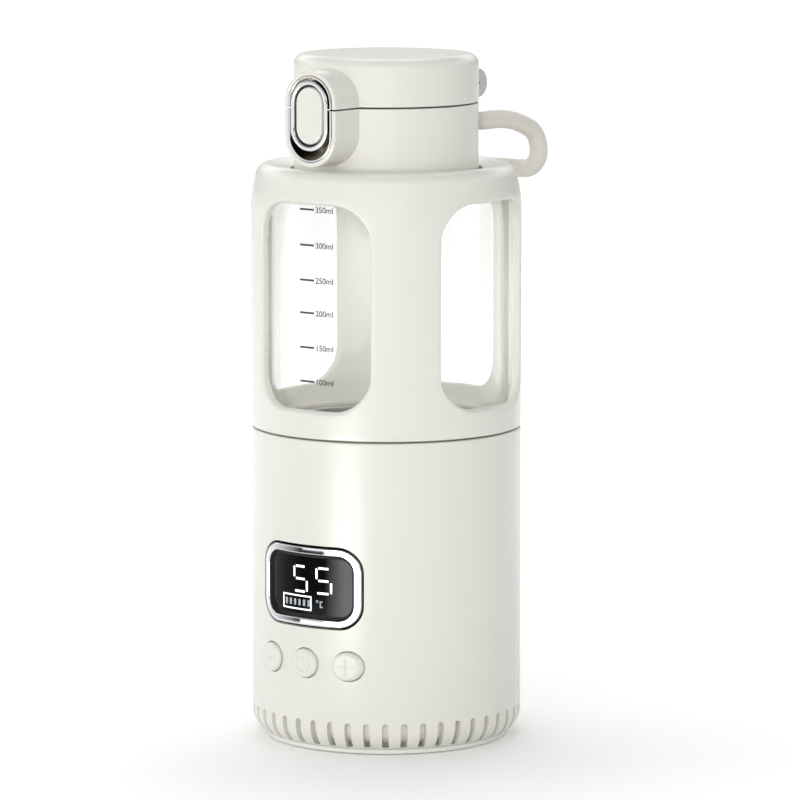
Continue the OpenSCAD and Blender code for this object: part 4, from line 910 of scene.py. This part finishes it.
# Flip cap
# The upper half of the lid, moulded in ABS: a shallow cap with a softly rounded edge, the upper half
# of the boss, two hinge knuckles and a catch for the button's hook.
cap_in = 28.2
cap_low = 211
cap_top = 226.7
cap_ceiling = 224.5
notch_half = 8.9
notch_top = 220.95
barrel_end = 14.2
catch_low = (-4.6, -33.15, 214.85)
catch_high = (4.6, -29, 216.85)
cap = turned([(cap_in, cap_low, 0.2), (lid_r, cap_low, 0.35), (lid_r, cap_top, 3.4), (0, cap_top),
              (0, cap_ceiling), (cap_in, cap_ceiling, 0.6)], steps=192)
cap = cut_out(cap, block((-notch_half, hinge_y - barrel_r - 4, cap_low - 5), (notch_half, 50, notch_top)))
join(cap, boss_half(cap_low, True), block(catch_low, catch_high, 0.3))
for left, right in ((-barrel_end, -notch_half), (notch_half, barrel_end)):
    join(cap, rod(barrel_r, left, right, hinge_y, hinge_z, 0.15))
fit_piece("flip_lid", cap, cream_abs, "cap", ["flip_cap"])
fit_piece("upper_mouth_rim", mouth_rim(cap_low, True), chrome, "cap", [])

# Stopper
# A silicone bung with a plug that closes the spout, pushed over a spigot on the disc that is welded
# under the cap.
plug_r = 7.4
plug_low = 214.8
bung_r = 12.5
bung_low = 216.8
bung_top = 222.3
groove_in = 8.4
groove_out = 10.6
groove_floor = 219.5
bung = turned([(0, plug_low), (plug_r, plug_low, 1), (plug_r, bung_low, 0.4), (bung_r, bung_low, 0.8),
               (bung_r, bung_top, 0.5), (groove_out, bung_top), (groove_out, groove_floor),
               (groove_in, groove_floor), (groove_in, bung_top), (0, bung_top)], closed=False)
fit_piece("spout_bung", bung, silicone, "cap", ["stopper"])
dress(natural_pp, "cap_disc")

# Hinge end caps
# Two grey ABS buttons pressed on the ends of the hinge pin, each moulded with a small dimple. They
# hide the pin and keep it from creeping out.
end_mid = 14.725
end_height = 0.95
end_rim = 3.9
end_dimple = 0.5
ends = bmesh.new()
for side in (-1, 1):
    button = bmesh.new()
    bmesh.ops.create_cone(button, cap_ends=True, segments=64, radius1=barrel_r, radius2=barrel_r,
                          depth=end_height)
    soften(button, 0.35, lambda a, b: min(a.z, b.z) > 0.4, 3)
    outer = [face for face in button.faces if face.normal.z > 0.999]
    bmesh.ops.inset_region(button, faces=outer, thickness=end_rim, use_even_offset=True)
    push(button, outer, (0, 0, -end_dimple))
    join(ends, turn(button, side * 90, "Y", (side * end_mid, hinge_y, hinge_z)))
# Grey ABS, moulded: even and satin
grey_abs = finish_with_grain("moulded_grey_abs", "#cbccc8", "#c5c6c2", 0.3, 0.002, Roughness=0.4)
fit_piece("hinge_buttons", ends, grey_abs, "cap", ["hinge_end_caps"])

# Release button
# A rocker of moulded ABS on a cross pin: a chrome-plated ring round a cream face, with a lever and a
# hook behind that lets go of the cap's catch.
rocker_w = 14.8
rocker_h = 22.9
rocker_mid = 208.6
rocker_front = 42.2
rocker_back = 40.2
ring_band = 1.45
face_inset = 2.2
face_w = rocker_w - 2 * face_inset
face_h = rocker_h - 2 * face_inset
face_front = 42.1
ring = border(rocker_w, rocker_h, rocker_w / 2, ring_band, rocker_back, rocker_front, rocker_mid)
soften_front(ring, 0.45, rocker_front)
fit_piece("button_ring", ring, chrome, "release", ["rocker_ring"])
button_face = slab(face_w, face_h, face_w / 2, -rocker_back, -face_front, 0, rocker_mid)
soften_front(button_face, 0.6, face_front)
fit_piece("button_face", button_face, cream_abs, "release", ["rocker_face"])
dress(black_nylon, "latch_lever")

# Carry loop
# A soft-touch bar of elastomer-coated polypropylene, bent back and down behind the lid and pinned to
# the collar's lugs on both sides.
bar_r = 3.05
loop_x = 19.1
straight_end = 34.7
sweep_r = 50
tail_r = 9
tail_y = 51.376
tail_z = 190.955
corner_r = 6
loop = bmesh.new()
bmesh.ops.create_circle(loop, cap_ends=True, segments=32, radius=bar_r)
turn(loop, 90, "X", (loop_x, loop_y - bar_r, loop_z))
tip = push(loop, loop.faces[:], (0, straight_end - loop_y + bar_r, 0))
soften_front(loop, 2.6, bar_r - loop_y, 6)
for centre, axis, angle, steps in (((loop_x, straight_end, loop_z - sweep_r), (1, 0, 0), -24, 10),
                                   ((loop_x, tail_y, tail_z), (1, 0, 0), -66, 16),
                                   ((loop_x - corner_r, tail_y + tail_r, tail_z), (0, 1, 0), 90, 16)):
    edge_loop = tip[0].edges[:]
    bmesh.ops.delete(loop, geom=tip, context="FACES_ONLY")
    last = bmesh.ops.spin(loop, geom=edge_loop, cent=centre, axis=axis, dvec=(0, 0, 0),
                          angle=math.radians(angle), steps=steps)["geom_last"]
    tip = bmesh.ops.contextual_create(loop, geom=only(bmesh.types.BMEdge, last))["faces"]
tip = push(loop, tip, (corner_r - loop_x, 0, 0))
bmesh.ops.delete(loop, geom=tip, context="FACES_ONLY")
bmesh.ops.mirror(loop, geom=whole(loop), axis="X", merge_dist=0.01)
# Soft-touch elastomer over polypropylene: greyer cream, a dull even skin
soft_touch = finish_with_grain("soft_touch_elastomer", "#e0ddd3", "#dcd9ce", 0.3, 0.004, Roughness=0.55)
fit_piece("carry_handle", loop, soft_touch, "loop", ["carry_loop"])

# Studio
# A white floor that shows as white but keeps the cup's shadow, deepened by painted shade round the cup's
# foot, pale walls under a dim ceiling, softboxes in front, left and overhead, a weak lamp inside the
# glass, and cards that only reflections show.
card_first = -88
card_sweep = 120
card_black = 0.0006
card_grey = 0.115
lamp_target = Vector((0, 0, 0.11))


def bare_tree(owner):
    owner.use_nodes = True
    owner.node_tree.nodes.clear()
    return owner.node_tree


def stage_piece(name, shape, finish):
    mesh = bpy.data.meshes.new(name)
    shape.to_mesh(mesh)
    shape.free()
    mesh.materials.append(finish)
    piece = bpy.data.objects.new(name, mesh)
    scene.collection.objects.link(piece)
    return piece


def reflection_card(name, ends, strength):
    # Sweeps the strip between two points round the cup's axis; it lights what reflects it and no more
    shape = bmesh.new()
    strip = [shape.verts.new(end) for end in ends]
    bmesh.ops.spin(shape, geom=[*strip, shape.edges.new(strip)], cent=(0, 0, 0), axis=(0, 0, 1),
                   dvec=(0, 0, 0), angle=math.radians(card_sweep), steps=40)
    # Diffuser film with a lamp behind it: an even glow
    light = bpy.data.materials.new(name)
    tree = bare_tree(light)
    glow = add(tree, "ShaderNodeEmission", {"Color": linear("#ffffff"), "Strength": strength})
    add(tree, "ShaderNodeOutputMaterial", {"Surface": (glow, 0)})
    card = stage_piece(name, shape, light)
    card.visible_camera = False
    card.visible_diffuse = False
    card.visible_transmission = False
    card.visible_shadow = False
    return tree, glow


# Painted board: seen as white, with the part that catches lamp light left to carry the shadow, and a seen
# glow that fades near the cup as painted shade round its foot
floor_paint = bpy.data.materials.new("white_painted_board")
tree = bare_tree(floor_paint)
path = add(tree, "ShaderNodeLightPath", {})
camera_or_glossy = add(tree, "ShaderNodeMath", {0: (path, "Is Camera Ray"), 1: (path, "Is Glossy Ray")},
                       operation="MAXIMUM")
seen = add(tree, "ShaderNodeMath", {0: (camera_or_glossy, 0), 1: (path, "Is Transmission Ray")},
           operation="MAXIMUM")
place = add(tree, "ShaderNodeTexCoord", {})
reach = add(tree, "ShaderNodeVectorMath", {0: (place, "Object")}, operation="LENGTH")
# Glow weaker near the cup than far off: painted shade round its foot, on top of its real shadow
glow_with_foot_shade = add(tree, "ShaderNodeMapRange", {"Value": (reach, "Value"), "From Min": 0.06, "From Max": 0.5,
                                        "To Min": 0.15, "To Max": 0.62})
glow = add(tree, "ShaderNodeEmission", {"Color": linear("#ffffff"), "Strength": (glow_with_foot_shade, 0)})
thin_paint = add(tree, "ShaderNodeBsdfDiffuse", {"Color": [0.98, 0.98, 0.98, 1]})
shown = add(tree, "ShaderNodeAddShader", {0: (glow, 0), 1: (thin_paint, 0)})
full_paint = add(tree, "ShaderNodeBsdfDiffuse", {"Color": linear("#e8e8e6")})
paint = add(tree, "ShaderNodeMixShader", {0: (seen, 0), 1: (full_paint, 0), 2: (shown, 0)})
add(tree, "ShaderNodeOutputMaterial", {"Surface": (paint, 0)})
floor_shape = bmesh.new()
bmesh.ops.create_grid(floor_shape, x_segments=1, y_segments=1, size=4)
stage_piece("studio_floor", floor_shape, floor_paint)

# Cards on the floor for the display: the chrome shows the near and the far one, grey to black and
# then white from left to right, and the window the middle one, black with a bright patch at the right
first = math.radians(card_first)
for name, radii, middle in (("near_card", (0.25, 0.31), card_grey),
                            ("middle_card", (0.31, 0.46), card_black),
                            ("far_card", (0.46, 0.54), card_grey)):
    ends = [(r * math.sin(first), -r * math.cos(first), 0.001) for r in radii]
    tree, glow = reflection_card(name, ends, 12.5)
    place = add(tree, "ShaderNodeTexCoord", {})
    axes = add(tree, "ShaderNodeSeparateXYZ", {0: (place, "Object")})
    front = add(tree, "ShaderNodeMath", {0: (axes, "Y"), 1: -1.0}, operation="MULTIPLY")
    bearing = add(tree, "ShaderNodeMath", {0: (axes, "X"), 1: (front, 0)}, operation="ARCTAN2")
    along = add(tree, "ShaderNodeMapRange", {"Value": (bearing, 0), "From Min": first,
                                             "From Max": math.radians(card_first + card_sweep)})
    grade = add(tree, "ShaderNodeValToRGB", {"Fac": (along, 0)})
    for spot, grey in ((0, 0.12), (0.42, card_black), (0.44, middle), (0.6, middle), (0.75, 1), (0.84, 1),
                       (0.88, card_grey), (1, card_grey)):
        stop = grade.color_ramp.elements.new(spot) if 0 < spot < 1 else grade.color_ramp.elements[-spot]
        stop.color = (grey, grey, grey, 1)
    tree.links.new(grade.outputs[0], glow.inputs["Color"])

# Card on the back wall, low and wide, for the bright line along the top edges of lid and sleeve
reflection_card("wall_card", [(0.65, 1.46, z) for z in (0.81, 1.15)], 2.2)

# Walls seen as white, lighting the cup with a bright band above a dim floor and under a dark ceiling
world = bpy.data.worlds.new("white_studio")
scene.world = world
tree = bare_tree(world)
path = add(tree, "ShaderNodeLightPath", {})
seen = add(tree, "ShaderNodeMath", {0: (path, "Is Camera Ray"), 1: (path, "Is Transmission Ray")},
           operation="MAXIMUM")
place = add(tree, "ShaderNodeTexCoord", {})
axes = add(tree, "ShaderNodeSeparateXYZ", {0: (place, "Generated")})
walls = add(tree, "ShaderNodeValToRGB", {"Fac": (axes, "Z")})
for spot, grey in ((0, 0.3), (0.16, 0.34), (0.27, 1), (0.4, 0.9), (0.55, 0.2), (1, 0.05)):
    stop = walls.color_ramp.elements.new(spot) if 0 < spot < 1 else walls.color_ramp.elements[-spot]
    stop.color = (grey, grey, grey, 1)
shade = add(tree, "ShaderNodeMix", {0: (seen, 0), 6: (walls, 0), 7: linear("#ffffff")}, data_type="RGBA")
bright = add(tree, "ShaderNodeMapRange", {"Value": (seen, 0), "To Min": 1.6, "To Max": 1.0})
sky = add(tree, "ShaderNodeBackground", {"Color": (shade, 2), "Strength": (bright, 0)})
add(tree, "ShaderNodeOutputWorld", {"Surface": (sky, 0)})

for name, spot, wide, tall, watts in (("front_softbox", (0.68, -1.56, 0.33), 1.5, 0.6, 12.5),
                                      ("left_softbox", (-1.44, -0.41, 0.35), 1.0, 1.0, 5.5),
                                      ("overhead_softbox", (-0.3, 0.4, 1.3), 0.8, 0.8, 6)):
    lamp_data = bpy.data.lights.new(name, "AREA")
    lamp_data.shape = "RECTANGLE"
    lamp_data.size = wide
    lamp_data.size_y = tall
    lamp_data.energy = watts
    lamp = bpy.data.objects.new(name, lamp_data)
    lamp.location = spot
    lamp.rotation_euler = (lamp_target - lamp.location).to_track_quat("-Z", "Y").to_euler()
    lamp.visible_glossy = name == "overhead_softbox"
    scene.collection.objects.link(lamp)

cup_light = bpy.data.lights.new("cup_fill", "POINT")
cup_light.energy = 0.024
cup_light.shadow_soft_size = 0.02
cup_lamp = bpy.data.objects.new("cup_fill", cup_light)
cup_lamp.location = (0, 0, 0.15)
cup_lamp.visible_camera = False
cup_lamp.visible_transmission = False
cup_lamp.visible_glossy = False
scene.collection.objects.link(cup_lamp)

scene.view_settings.view_transform = "Standard"
